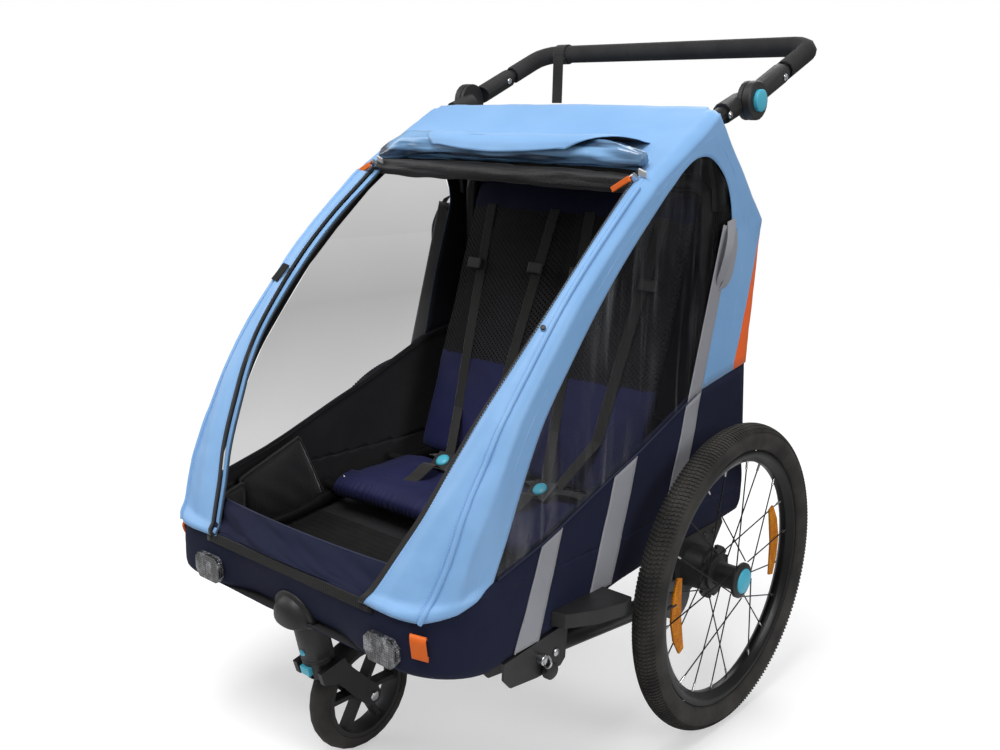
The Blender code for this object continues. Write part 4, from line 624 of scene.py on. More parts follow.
def stitch_tree():
    """Copies of one shape along a line at an even pitch, with their tops to the surface normal."""
    tree, given, out = new_tree("stitches along a line", [
        ("Pitch", "Float", 0.004), ("Shape", "Object", None), ("Finish", "Material", None)])
    line = add_node(tree, "GeometryNodeMeshToCurve", {0: given.outputs["Geometry"]})
    even = add_node(tree, "GeometryNodeResampleCurve", {
        "Curve": line.outputs[0], "Length": given.outputs["Pitch"]}, mode="LENGTH")
    tangent = add_node(tree, "GeometryNodeInputTangent")
    up = add_node(tree, "GeometryNodeInputNamedAttribute", {"Name": "up"}, data_type="FLOAT_VECTOR")
    along = add_node(tree, "FunctionNodeAlignEulerToVector", {"Vector": tangent.outputs[0]}, axis="X")
    turned = add_node(tree, "FunctionNodeAlignEulerToVector", {
        "Rotation": along.outputs[0], "Vector": up.outputs[0]}, axis="Z", pivot_axis="X")
    shape = add_node(tree, "GeometryNodeObjectInfo", {"Object": given.outputs["Shape"]})
    copies = add_node(tree, "GeometryNodeInstanceOnPoints", {
        "Points": even.outputs[0], "Instance": shape.outputs["Geometry"], "Rotation": turned.outputs[0]})
    return end_tree(tree, given, out, copies)


def round_tree():
    """Copies of the geometry itself, turned step by step about the X axis."""
    tree, given, out = new_tree("copies round a wheel", [
        ("Count", "Int", 12), ("Finish", "Material", None)])
    count = given.outputs["Count"]
    ring = add_node(tree, "GeometryNodePoints", {"Count": count})
    index = add_node(tree, "GeometryNodeInputIndex")
    part = add_node(tree, "ShaderNodeMath", {0: index.outputs[0], 1: count}, operation="DIVIDE")
    turn = add_node(tree, "ShaderNodeMath", {0: part.outputs[0], 1: math.tau}, operation="MULTIPLY")
    spin = add_node(tree, "ShaderNodeCombineXYZ", {0: turn.outputs[0]})
    copies = add_node(tree, "GeometryNodeInstanceOnPoints", {
        "Points": ring.outputs[0], "Instance": given.outputs["Geometry"], "Rotation": spin.outputs[0]})
    return end_tree(tree, given, out, copies)


WIRE, STITCH, ROUND = wire_tree(), stitch_tree(), round_tree()


def grown(obj, tree, finish, **inputs):
    """Runs a tree on an object and leaves a plain mesh in its stead."""
    made = obj.modifiers.new(tree.name, "NODES")
    made.node_group = tree
    inputs["Finish"] = FINISHES[finish]
    for item in tree.interface.items_tree:
        if item.in_out == "INPUT" and item.name in inputs:
            made[item.identifier] = inputs[item.name]
    mesh, name = baked(obj), obj.name
    bpy.data.objects.remove(obj)
    mesh.name = name
    mesh.materials.clear()
    mesh.materials.append(FINISHES[finish])
    mesh.polygons.foreach_set("material_index", [0] * len(mesh.polygons))
    return placed(name, mesh)


def chains(name, lines):
    """Wire mesh along lines of points."""
    verts, edges = [], []
    for line in lines:
        first = len(verts)
        verts += [tuple(p) for p in line]
        edges += [(k, k + 1) for k in range(first, len(verts) - 1)]
    mesh = bpy.data.meshes.new(name)
    mesh.from_pydata(verts, edges, [])
    return placed(name, mesh)


def wires(name, lines, finish, radius, sides):
    """Tubes of one radius along lines of points."""
    return grown(chains(name, lines), WIRE, finish, Radius=radius, Sides=sides)


SHAPES = []


def small_shape(name, size, squeeze=0.6):
    """One low block with a narrower top, kept out of the render, for the trees to copy."""
    bm = bmesh.new()
    bmesh.ops.create_cube(bm, size=1)
    for v in bm.verts:
        v.co.z = max(v.co.z, 0)
    bmesh.ops.scale(bm, vec=(size[0], size[1], size[2] * 2), verts=bm.verts)
    for v in bm.verts:
        if v.co.z > size[2] * 0.5:
            v.co.x *= squeeze
            v.co.y *= squeeze
    obj = mesh_piece(name, bm)
    obj.hide_render = True
    SHAPES.append(obj)
    return obj


STITCH_SHAPE = small_shape("one_stitch", (0.0026, 0.0006, 0.0004))
TOOTH_SHAPE = small_shape("one_tooth", (0.0014, 0.0034, 0.0012), 0.8)


def sewn(name, lines, finish, pitch=0.0042, shape=STITCH_SHAPE):
    """Stitches or teeth along lines of (point, normal) pairs."""
    obj = chains(name, [[p for p, _ in line] for line in lines])
    ups = [tuple(Vector(n).normalized()) for line in lines for _, n in line]
    obj.data.attributes.new("up", "FLOAT_VECTOR", "POINT").data.foreach_set("vector", np.ravel(ups))
    return grown(obj, STITCH, finish, Pitch=pitch, Shape=shape)


print("node trees:", WIRE.name, "|", STITCH.name, "|", ROUND.name)

# %% [markdown]
# ## The cabin's outline
# These lines were measured once for the solids: the ridge where front strip and side meet, the
# inner edge of the strip, the window's seam and the top of the navy tub.

# %% Outline
RIDGE = [
    (-0.5880, 0.3360), (-0.5735, 0.3640), (-0.5555, 0.4082), (-0.5354, 0.4590), (-0.5013, 0.5243),
    (-0.4679, 0.5790), (-0.4250, 0.6370), (-0.3531, 0.7233), (-0.2812, 0.7925), (-0.2046, 0.8588),
    (-0.1650, 0.8870), (-0.1063, 0.9215), (-0.0550, 0.9520), (-0.0070, 0.9795),
    (0.0700, 0.8990), (0.1500, 0.8140), (0.1500, 0.7700), (0.1400, 0.6700), (0.1270, 0.5745),
    (0.1350, 0.4710), (0.1440, 0.4420),
]
ROOF_FRONT, ROOF_REAR, BACK_TOP, SIDE_END = 10, 13, 15, 18
RIDGE_INSET = [0.0275, 0.0205, 0.012, 0.008, 0.005, 0.003, 0.001]
OPENING = [
    (0.166, -0.6005, 0.3385), (0.180, -0.5850, 0.3660), (0.197, -0.5630, 0.4080),
    (0.218, -0.5380, 0.4590), (0.236, -0.5025, 0.5243), (0.250, -0.4700, 0.5790),
    (0.263, -0.4255, 0.6370), (0.273, -0.3470, 0.7233), (0.274, -0.2750, 0.7925),
    (0.270, -0.1960, 0.8588), (0.268, -0.1640, 0.8880),
]
WINDOW = [
    (-0.500, 0.3755), (-0.492, 0.3920), (-0.476, 0.4250), (-0.453, 0.4780), (-0.426, 0.5350),
    (-0.400, 0.5800), (-0.360, 0.6320), (-0.300, 0.7050), (-0.235, 0.7730), (-0.156, 0.8450),
    (-0.128, 0.8680), (-0.100, 0.8900), (-0.066, 0.9060), (-0.024, 0.9040),
    (0.022, 0.8700), (0.045, 0.8150), (0.036, 0.7650), (0.008, 0.6700), (-0.0195, 0.5480),
]
TUB_TOP = [
    (-0.600, 0.345), (-0.560, 0.358), (-0.543, 0.364), (-0.496, 0.374), (-0.404, 0.399),
    (-0.360, 0.414), (-0.242, 0.459), (-0.185, 0.479), (-0.023, 0.546), (0.114, 0.571),
    (0.128, 0.440), (0.200, 0.440),
]
TUB_BOTTOM = [
    (-0.610, 0.257), (-0.560, 0.254), (-0.500, 0.250), (-0.353, 0.266), (-0.210, 0.288),
    (-0.045, 0.303), (0.093, 0.309), (0.200, 0.318),
]
BODY_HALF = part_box("side_window_left")[1].x + 0.0008
RIDGE_X = BODY_HALF - 0.0133
CORNER_R = 0.088
CORNER = (BODY_HALF - CORNER_R, -0.510)


def spread(table, y):
    return float(np.interp(y, [a for a, _ in table], [b for _, b in table]))


def plan_x(y):
    """Side of the tub at a y, round its front corner."""
    over = CORNER[1] - y
    return BODY_HALF if over <= 0 else CORNER[0] + math.sqrt(max(CORNER_R ** 2 - over ** 2, 0))


def inward(points, distance):
    """Moves a (y, z) line to the cabin's inside."""
    moved = []
    for k, (y, z) in enumerate(points):
        a, b = points[max(k - 1, 0)], points[min(k + 1, len(points) - 1)]
        dy, dz = b[0] - a[0], b[1] - a[1]
        length = math.hypot(dy, dz)
        moved.append((y + dz / length * distance, z - dy / length * distance))
    return moved


print("cabin half width", round(BODY_HALF, 4))

# %% [markdown]
# ## Cloth helpers
# A cover is never quite smooth. `crumple` moves a mesh along its normals by a slow random height
# that fades to nothing at its seams, and always outward, so cloth stays off the tubes inside it.

# %% Cloth helpers
def crumple(obj, height, size, seams=(), reach=0.03, lift=0.5, stretch=(1, 1, 1), seed=1.0):
    """Random hollows and folds, which die away within a short reach of the seams."""
    lines = [Vector(p) for line in seams for p in line]
    tree = KDTree(max(len(lines), 1))
    for k, p in enumerate(lines):
        tree.insert(p, k)
    tree.balance()
    with editing(obj) as bm:
        moves = []
        for v in bm.verts:
            near = min(tree.find(v.co)[2] / reach, 1.0) if lines else 1.0
            fade = near * near * (3 - 2 * near)
            wave = ripple(v.co, size, stretch, seed) + 0.45 * ripple(v.co, size * 0.4, stretch, seed + 7)
            moves.append(v.normal * (height * (wave + lift) * fade))
        for v, move in zip(bm.verts, moves):
            v.co += move


def joined(name, parts):
    """One mesh piece out of several, with double points merged."""
    bm = bmesh.new()
    materials = []
    for part in parts:
        first = len(bm.faces)
        bm.from_mesh(part.data)
        bm.faces.ensure_lookup_table()
        own = list(part.data.materials)
        materials += [m for m in own if m not in materials]
        for face in bm.faces[first:]:
            face.material_index = materials.index(own[min(face.material_index, len(own) - 1)])
    bmesh.ops.remove_doubles(bm, verts=bm.verts, dist=1e-5)
    for part in parts:
        bpy.data.objects.remove(part)
    obj = mesh_piece(name, bm)
    for m in materials:
        obj.data.materials.append(m)
    return obj


def box_uv(obj):
    """UV map in metres from the side that each face looks to."""
    mesh = obj.data
    layer = mesh.uv_layers.get("cloth") or mesh.uv_layers.new(name="cloth")
    for face in mesh.polygons:
        side = max(range(3), key=lambda k: abs(face.normal[k]))
        a, b = [k for k in range(3) if k != side]
        for loop in face.loop_indices:
            p = mesh.vertices[mesh.loops[loop].vertex_index].co
            layer.data[loop].uv = (p[a], p[b])


def stuffed(name, node, finish, cell, smooth, puff=0.0, size=0.06, seed=3.0):
    """A soft piece in the place of a plain solid: rounded off, filled out and creased."""
    bm = bmesh.new()
    bm.from_mesh(nodes[node].data)
    bmesh.ops.remove_doubles(bm, verts=bm.verts, dist=1e-5)
    bmesh.ops.recalc_face_normals(bm, faces=bm.faces)
    obj = mesh_piece(name, bm)
    even = obj.modifiers.new("even cells", "REMESH")
    even.mode = "VOXEL"
    even.voxel_size = cell
    soft = obj.modifiers.new("soft", "SMOOTH")
    soft.iterations = smooth
    settled(obj)
    obj.data.materials.clear()
    obj.data.materials.append(FINISHES[finish])
    obj.data.polygons.foreach_set("use_smooth", [True] * len(obj.data.polygons))
    if puff:
        crumple(obj, puff, size, lift=0.3, seed=seed)
    box_uv(obj)
    return obj


def ribbon(name, centre, across, width, finish, thickness):
    """Flat band along a line: `across` gives the direction of its width at each point."""
    rows = []
    for k, p in enumerate(centre):
        side = Vector(across[k] if isinstance(across, list) else across).normalized() * (width / 2)
        rows.append([Vector(p) + side * t for t in (-1, -0.92, -0.5, 0, 0.5, 0.92, 1)])
    obj = grid_piece(name, rows, finish)
    thicken(obj, thickness, offset=0)
    return obj


# %% [markdown]
# ## Cover
# The light-blue cover is one sheet: two strips beside the front opening, the roof, the back and
# the borders round both side windows. Rows follow the ridge from the front corner over the roof
# to the back; the strips, the roof and the sides are grids that share their edges.

# %% Cover outline
PER = 7
shoulder = inward(RIDGE, 0.013)
shoulder[:3] = [(-0.5549, 0.3480), (-0.5520, 0.3680), (-0.5435, 0.4020)]
shoulder[18:] = [(0.1210, 0.5740), (0.1320, 0.4710), (0.1360, 0.4420)]
insets = RIDGE_INSET + [0.0] * (len(RIDGE) - len(RIDGE_INSET))
corners = (ROOF_REAR, BACK_TOP, SIDE_END)
ridge_line = smooth_line([at(RIDGE_X - d, y, z) for d, (y, z) in zip(insets, RIDGE)], PER, corners)
shoulder_out = [0.0026, 0.0022, 0.0010] + [0.0] * (len(shoulder) - 3)
shoulder_line = smooth_line([at(plan_x(y) + d, y, z) for d, (y, z) in zip(shoulder_out, shoulder)], PER,
                            corners)
window_line = smooth_line([at(BODY_HALF, y, z) for y, z in WINDOW], PER)
opening_line = smooth_line([at(*p) for p in OPENING], PER)


def blend_points(a, b, count, bow=Vector((0, 0, 0))):
    """Points from a to b, bulging by bow in the middle."""
    return [a.lerp(b, k / count) + bow * (4 * k / count * (1 - k / count)) for k in range(count + 1)]


def tub_top(x, y):
    """Height of the tub's edge, which dips at the front corners, under the cover's foot."""
    dip = min(max((x - 0.146) / 0.030, 0), 1) * min(max((-0.500 - y) / 0.045, 0), 1)
    return spread(TUB_TOP, y) - 0.0065 * dip


def over_tub(p):
    """Keeps the cover's foot outside the tub, whose edge it hangs over."""
    x, y = abs(p.x), p.y - AXLE_Y
    if y >= CORNER[1]:
        return p
    dx, dy = max(x - CORNER[0], 0), y - CORNER[1]
    length = math.hypot(dx, dy)
    edge = tub_top(x, CORNER[1] + dy * CORNER_R / length)
    share = min(max((edge + 0.0135 - p.z) / 0.0115, 0), 1) * min(max((-0.505 - y) / 0.03, 0), 1)
    grow = 1 + max((CORNER_R + 0.0038) / length - 1, 0) * share * share * (3 - 2 * share)
    x, y = min(x, CORNER[0]) + dx * grow, CORNER[1] + dy * grow
    return Vector((math.copysign(x, p.x), y + AXLE_Y, p.z))


def strip_rows():
    rows = []
    for k in range(ROOF_FRONT * PER + 1):
        fade = min(k, ROOF_FRONT * PER - k, 10) / 10
        row = blend_points(opening_line[k], ridge_line[k], 10, Vector((0, -0.004, 0.003)) * fade)
        rows.append([over_tub(p) for p in row])
    return rows


def side_rows():
    rows = []
    for k in range(SIDE_END * PER + 1):
        first = blend_points(ridge_line[k], shoulder_line[k], 4, Vector((0.0016, 0, 0)))
        rows.append([over_tub(p) for p in first + blend_points(shoulder_line[k], window_line[k], 9)[1:]])
    return rows


def corner_rows():
    """Strip that closes each rear corner, from the ridge round to the tub's wall."""
    rows = []
    for ridge, side in zip(ridge_line[SIDE_END * PER:], shoulder_line[SIDE_END * PER:]):
        side = side + Vector((-0.0014, 0, 0))
        rows.append(blend_points(ridge, side, 4) + blend_points(side, side + Vector((0, -0.020, 0)), 2)[1:])
    return rows


def roof_rows():
    """Right half from the middle out; the last ten columns meet the strips at the front edge."""
    rows = []
    for k in range(ROOF_FRONT * PER, len(ridge_line)):
        edge = ridge_line[k]
        before, after = ridge_line[max(k - 1, ROOF_FRONT * PER)], ridge_line[min(k + 1, len(ridge_line) - 1)]
        if k == ROOF_REAR * PER:
            after, before = edge, ridge_line[k - 1]
        along = (after - before).normalized()
        out = Vector((0, -along.z, along.y))
        rise = 0.004 if k <= ROOF_REAR * PER else 0.0032 * min((len(ridge_line) - 1 - k) / PER, 1)
        out = out if out.z + out.y > 0 else -out
        inner = [Vector((x, edge.y, edge.z)) + out * rise * (1 - (x / RIDGE_X) ** 2)
                 for x in np.linspace(0, opening_line[-1].x, 23)]
        row = inner + blend_points(inner[-1], edge, 10)[1:]
        share = min((k - ROOF_FRONT * PER) / PER, 1)
        if share < 1:
            row = [p.lerp(q, share) for p, q in zip(
                [Vector((p.x, opening_line[-1].y, opening_line[-1].z + 0.004 * (1 - (p.x / RIDGE_X) ** 2)))
                 for p in inner] + blend_points(opening_line[-1], edge, 10)[1:], row)]
        rows.append(row)
    return rows


STRIP_ROWS, SIDE_ROWS = strip_rows(), side_rows()


def build_cover():
    halves = [grid_piece("strip", STRIP_ROWS, "sky_cloth"), grid_piece("side", SIDE_ROWS, "sky_cloth"),
              grid_piece("roof", roof_rows(), "sky_cloth")]
    halves += [other_side(part, part.name + "_twin") for part in halves]
    cover = joined("cover", halves)
    tree = KDTree(2 * len(ridge_line))
    for k, p in enumerate(ridge_line):
        tree.insert(p, k)
        tree.insert((-p.x, p.y, p.z), k)
    tree.balance()
    with editing(cover) as bm:
        bmesh.ops.recalc_face_normals(bm, faces=bm.faces)
        if sum(f.normal.z * f.calc_area() for f in bm.faces if abs(f.normal.z) > 0.7) < 0:
            bmesh.ops.reverse_faces(bm, faces=bm.faces)
        near_ridge = [v for v in bm.verts if not v.is_boundary and tree.find(v.co)[2] < 0.010]
        for _ in range(3):
            bmesh.ops.smooth_vert(bm, verts=near_ridge, factor=0.5, use_axis_x=True, use_axis_y=True,
                                  use_axis_z=True)
    seams = [opening_line, window_line, mirrored(opening_line), mirrored(window_line)]
    crumple(cover, 0.0016, 0.11, seams, 0.04)
    crumple(cover, 0.0007, 0.035, seams, 0.03, lift=0.2, stretch=(1, 1, 1.6), seed=5)
    thicken(cover, 0.0012, "dark_lining")
    return cover


def crease_strips(obj):
    """Long shallow folds that run down the two front strips."""
    opening_x = [(y, x) for x, y, _ in OPENING]
    with editing(obj) as bm:
        for v in bm.verts:
            y, z = v.co.y - AXLE_Y, v.co.z
            if y > -0.17 or z > 0.89 or v.is_boundary:
                continue
            across = abs(v.co.x) - spread(opening_x, y)
            wave = math.sin(across * 210 + 3.5 * noise.noise(Vector((y * 5, z * 5, v.co.x * 2))))
            v.co += v.normal * 0.0009 * (wave + 0.6) * min(max(across, 0) / 0.02, 1)


cover = build_cover()
crease_strips(cover)
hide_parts("canopy")
goes_with_cover(cover)
corner = grid_piece("rear_corner_left", corner_rows(), "navy_cloth")
face_away(corner, at(0, 0.05, 0.5))
thicken(corner, 0.0012)
goes_with_cover(corner, other_side(corner, "rear_corner_right"))

# %% [markdown]
# ## Side windows
# Each window is clear film. It hangs from the cover's border to the top of the tub, and its lower
# half has soft vertical folds because the film is a little longer than the gap it fills.

# %% Side windows
WINDOW_TOP, WINDOW_REAR = WINDOW[:16], sorted(WINDOW[15:])
WINDOW_ENDS, WINDOW_COLUMNS, WINDOW_ROWS = (-0.4960, 0.0445), 150, 34


def window_span(y):
    """Lowest and highest z of the film at a y."""
    high = spread(WINDOW_TOP, y)
    low = spread(WINDOW_REAR, y) if y > WINDOW[-1][0] else spread(TUB_TOP, y) + 0.001
    return min(low, high - 0.0005), high


def build_window():
    rows = []
    first, last = WINDOW_ENDS
    for j in range(WINDOW_COLUMNS + 1):
        y = first + (last - first) * j / WINDOW_COLUMNS
        low, high = window_span(y)
        row = []
        for k in range(WINDOW_ROWS + 1):
            t = k / WINDOW_ROWS
            z = low + (high - low) * t
            fade = min(t, 1 - t, 0.12) / 0.12 * min((high - low) / 0.12, 1)
            fold = 0.0017 * (1 - t) ** 1.5 * (
                math.sin(y * 150 + 2.4 * math.sin(z * 9)) + 0.8 * noise.noise(Vector((y * 60, z * 4, 2))))
            fold += 0.0024 * noise.noise(Vector((y * 9, z * 3.5, 8)))
            row.append(at(BODY_HALF - 0.0016 + (fold - 0.0010) * fade, y, z))
        rows.append(row)
    return grid_piece("window_left", rows, "clear_film")


window_left = build_window()
window_right = other_side(window_left, "window_right")
for piece, node in ((window_left, "side_window_left"), (window_right, "side_window_right")):
    face_away(piece, at(0, -0.2, 0.6))
    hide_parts(node)
    goes_with_cover(piece)

# %% [markdown]
# ## Tub
# The lower body is a tray of navy cloth with a rounded lower edge, open at the front for the front
# wheel's socket. Its walls are a piece of their own above the floor's height, because on the real
# trailer they fold down with the cover while the floor stays stretched on the frame.

# %% Tub
REAR_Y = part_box("lower_body")[1].y - AXLE_Y
REAR_R = 0.030
WALL_STEPS, FLOOR_STEPS, FRONT_STEPS = 18, 12, 12
FOLD_LEVEL = 0.358
HEM_OUT, HEM_RISE, HEM_RISE_CORNER = 0.0030, 0.0075, 0.0045


def tub_inset(t, front, rear):
    """Distance inward at a share t of the wall's height."""
    foot = (1 - min(t / 0.16, 1)) ** 2
    return foot * (0.004 + 0.007 * front) + 0.019 * rear * t * t


def tub_wall():
    """Right half of the wall from the front middle round to the back middle: x, y and the way in."""
    n = FRONT_STEPS
    ring = [((BODY_HALF - CORNER_R) * k / n, CORNER[1] - CORNER_R, 0.0, 1.0) for k in range(n)]
    for k in range(13):
        turn = math.pi / 2 * k / 12
        ring.append((CORNER[0] + CORNER_R * math.sin(turn), CORNER[1] - CORNER_R * math.cos(turn),
                     -math.sin(turn), math.cos(turn)))
    for y in np.linspace(CORNER[1], REAR_Y - REAR_R, 54)[1:-1]:
        ring.append((BODY_HALF, float(y), -1.0, 0.0))
    for k in range(7):
        turn = math.pi / 2 * k / 6
        ring.append((BODY_HALF - REAR_R + REAR_R * math.cos(turn), REAR_Y - REAR_R + REAR_R * math.sin(turn),
                     -math.cos(turn), -math.sin(turn)))
    ring += [((BODY_HALF - REAR_R) * (1 - k / n), REAR_Y, 0.0, -1.0) for k in range(1, n + 1)]
    return ring


def rod(name, radius, depth, lean, place):
    """Cutter for the opening that the front wheel's socket passes through."""
    bm = bmesh.new()
    bmesh.ops.create_cone(bm, cap_ends=True, segments=32, radius1=radius, radius2=radius, depth=depth)
    bmesh.ops.rotate(bm, verts=bm.verts, matrix=Matrix.Rotation(math.radians(lean), 3, "X"))
    bmesh.ops.translate(bm, verts=bm.verts, vec=at(*place))
    return mesh_piece(name, bm)


def tub_row(x, y, ax, ay):
    """One upright row of the wall, from its foot to the hem, at a place of the ring."""
    bottom, top = spread(TUB_BOTTOM, y), tub_top(x, y)
    middle = min(max((0.185 - x) / 0.100, 0), 1) if y < -0.4 else 0.0
    middle = middle * middle * (3 - 2 * middle)
    bottom -= 0.004 * middle
    if x <= 0.18 and y > 0:
        top = min(top, 0.440)
    front, rear = (max(ay, 0), 0) if y < -0.4 else (0, max(-ay, 0))
    row = []
    for k in range(WALL_STEPS + 1):
        t = k / WALL_STEPS
        d = tub_inset(t, front, rear) + 0.026 * middle * (1 - min(t / 0.85, 1)) ** 1.2
        row.append(at(x + ax * d, y + ay * d, bottom + (top - bottom) * t))
    hem = row[-1] + Vector((ax, ay, 0)) * HEM_OUT
    rise = HEM_RISE if x < 0.150 or y > -0.50 else HEM_RISE_CORNER
    return row + [hem, hem + Vector((ax * 0.0006, ay * 0.0006, rise))]


def build_tub():
    wall = [tub_row(*place) for place in tub_wall()]
    floor = [[Vector((row[0].x * j / FLOOR_STEPS, row[0].y, row[0].z)) for j in range(FLOOR_STEPS + 1)]
             for row in wall[FRONT_STEPS:-FRONT_STEPS]]
    parts = [grid_piece("wall", wall, "navy_cloth"), grid_piece("floor", floor, "navy_cloth")]
    half = joined("half_tub", parts)
    tub = joined("tub", [half, other_side(half, "tub_twin")])
    face_out(tub)
    face_away(tub, at(0, -0.2, 0.40))
    rims = [[row[-2] for row in wall], [row[0] for row in wall]]
    rims += [mirrored(rim) for rim in rims]
    crumple(tub, 0.0018, 0.10, rims, 0.05, lift=0.35)
    crumple(tub, 0.0008, 0.03, rims, 0.04, lift=0.2, seed=9)
    thicken(tub, 0.0014, "wall_lining")
    settled(tub)
    for hole in (rod("hood", 0.0370, 0.080, 90, (0, -0.599, 0.2530)),
                 rod("barrel", 0.0285, 0.090, 14, (0, -0.539, 0.2265))):
        cut = tub.modifiers.new("hole", "BOOLEAN")
        cut.object = hole
        cut.solver = "EXACT"
        cut.use_self = True
        settled(tub)
        bpy.data.objects.remove(hole)
    print("tub after its openings", len(tub.data.polygons), "faces")
    return tub


def cut_level(obj, name, height):
    """Cuts a piece at a height, and returns its upper part as a piece of its own."""
    upper = placed(name, obj.data.copy())
    upper.data.name = name
    for piece in (obj, upper):
        with editing(piece) as bm:
            bmesh.ops.bisect_plane(bm, geom=bm.verts[:] + bm.edges[:] + bm.faces[:],
                                   plane_co=(0, 0, height), plane_no=(0, 0, 1),
                                   clear_inner=piece is upper, clear_outer=piece is obj)
            bmesh.ops.holes_fill(bm, edges=[e for e in bm.edges if e.is_boundary], sides=0)
    return upper


tub = build_tub()
TUB_TREE = surface_tree(tub.data)
tub_walls = cut_level(tub, "tub_walls", FOLD_LEVEL)
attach(tub_walls, "chassis")
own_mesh(tub_walls)
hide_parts("lower_body")
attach(tub, "chassis")

# %% [markdown]
# ## Socket of the front wheel
# A flared hood covers the place where the socket passes through the cloth. It is wide where it
# meets the cloth, rounded in front, and runs down into the leaning barrel above the fork.

# %% Socket of the front wheel
def lathe(name, profile, steps, finish, place, under=1.0):
    """Profile of (radius, height) points turned about Z, flattened by `under` on the side of -Y."""
    rows = []
    for r, h in profile:
        row = []
        for k in range(steps):
            turn = math.tau * k / steps
            side = math.sin(turn)
            row.append(place @ Vector((r * math.cos(turn), r * side * (1 if side > 0 else under), h)))
        rows.append(row)
    return grid_piece(name, rows, finish, closed=True)


BARREL = [(0.0, 0.0800), (0.0150, 0.0790), (0.0215, 0.0740), (0.0245, 0.0640), (0.0245, 0.0070),
          (0.0237, 0.0062), (0.0237, 0.0046), (0.0245, 0.0038), (0.0245, 0.0010), (0.0240, 0.0004),
          (0.0, 0.0004)]
HOOD = [(0.0, 0.0245), (0.0100, 0.0241), (0.0190, 0.0225), (0.0265, 0.0194), (0.0318, 0.0150),
        (0.0350, 0.0098), (0.0362, 0.0062), (0.0366, 0.0050), (0.0414, 0.0046), (0.0430, 0.0034),
        (0.0434, 0.0010), (0.0434, -0.0120), (0.0, -0.0120)]
RAKE, HOOD_RAKE = 14, 14.6


def build_socket():
    leaning = Matrix.Translation(at(0, -0.539, 0.1815)) @ Matrix.Rotation(math.radians(RAKE), 4, "X")
    barrel = lathe("barrel", BARREL, 48, "black_plastic", leaning)
    facing = (Matrix.Translation(at(0, -0.5765, 0.2550)) @ Matrix.Rotation(math.radians(HOOD_RAKE), 4, "X")
              @ Matrix.Rotation(math.radians(90), 4, "X"))
    hood = lathe("hood", HOOD, 64, "black_plastic", facing, 0.30)
    socket = joined("socket_shape", [barrel, hood])
    face_out(socket)
    return socket


socket = build_socket()
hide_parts("caster_socket")
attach(socket, "chassis")
print("socket", len(socket.data.polygons), "faces")

# %% [markdown]
# ## Rear wheels
# Each wheel is built once about the origin with its axle along X, then set in place and mirrored.
# The tyre is a smooth carcass with chevron blocks copied round it; spokes are thin tubes, laced
# in crossing pairs, with a bright nipple at the rim.

# %% Rear wheels
TYRE_CENTRE, TYRE_SECTION, TREAD_SECTION = 0.2263, 0.0225, 0.0222
RIM_INNER, RIM_HALF = 0.1885, 0.0135
SPOKES, SPOKE_LEAN, FLANGE_R, RIM_HOLE_R = 20, 52, 0.0313, 0.1900
TREAD_PITCHES = 232


def revolved(name, profile, steps, finish):
    """Profile of (radius, x) points turned about the X axis."""
    rows = []
    for k in range(steps + 1):
        turn = math.tau * k / steps
        rows.append([Vector((x, r * math.cos(turn), r * math.sin(turn))) for r, x in profile])
    return grid_piece(name, rows, finish)


def tyre_carcass():
    profile = []
    for k in range(25):
        turn = math.radians(-128 + 256 * k / 24)
        profile.append((TYRE_CENTRE + TYRE_SECTION * math.cos(turn), TYRE_SECTION * math.sin(turn)))
    bead = (0.2090, 0.0125)
    profile = [(bead[0], -bead[1]), *profile, bead, (bead[0], -bead[1])]
    return revolved("carcass", profile, 96, "tyre_rubber")


def tread_patch():
    """One pitch of the tread: a centre block and slanted blocks out to both shoulders."""
    bm = bmesh.new()
    for phi, skew, wide, long in ((0, 0, 0.0050, 0.0046), (17, 0.0010, 0.0052, 0.0034),
                                  (-17, 0.0010, 0.0052, 0.0034), (33, 0.0030, 0.0056, 0.0034),
                                  (-33, 0.0030, 0.0056, 0.0034), (50, 0.0046, 0.0058, 0.0030),
                                  (-50, 0.0046, 0.0058, 0.0030)):
        made = bmesh.ops.create_cube(bm, size=1)["verts"]
        for v in made:
            v.co = Vector((v.co.x * wide, v.co.y * long, v.co.z * 0.0026))
            v.co.y += math.copysign(v.co.x * 0.45, v.co.x * phi) if phi else 0
        bmesh.ops.translate(bm, verts=made, vec=(0, skew, TREAD_SECTION + 0.0008))
        bmesh.ops.rotate(bm, verts=made, matrix=Matrix.Rotation(math.radians(phi), 3, "Y"))
        bmesh.ops.translate(bm, verts=made, vec=(0, 0, TYRE_CENTRE))
    bmesh.ops.bevel(bm, geom=bm.edges[:], offset=0.0004, segments=1, affect="EDGES")
    return finished("tread", bm, "tyre_rubber")


def rim_profile():
    inner, half = RIM_INNER, RIM_HALF
    return [(0.2085, half), (0.2080, half - 0.0018), (0.2045, half - 0.0040), (0.2045, 0.004 - half),
            (0.2080, 0.0018 - half), (0.2085, -half), (0.2078, -half - 0.0002), (0.1995, -half + 0.0002),
            (0.1975, -half + 0.0022), (inner + 0.0010, -half * 0.45), (inner, -half * 0.30),
            (inner, half * 0.30), (inner + 0.0010, half * 0.45), (0.1975, half - 0.0022),
            (0.1995, half - 0.0002), (0.2078, half + 0.0002), (0.2085, half)]


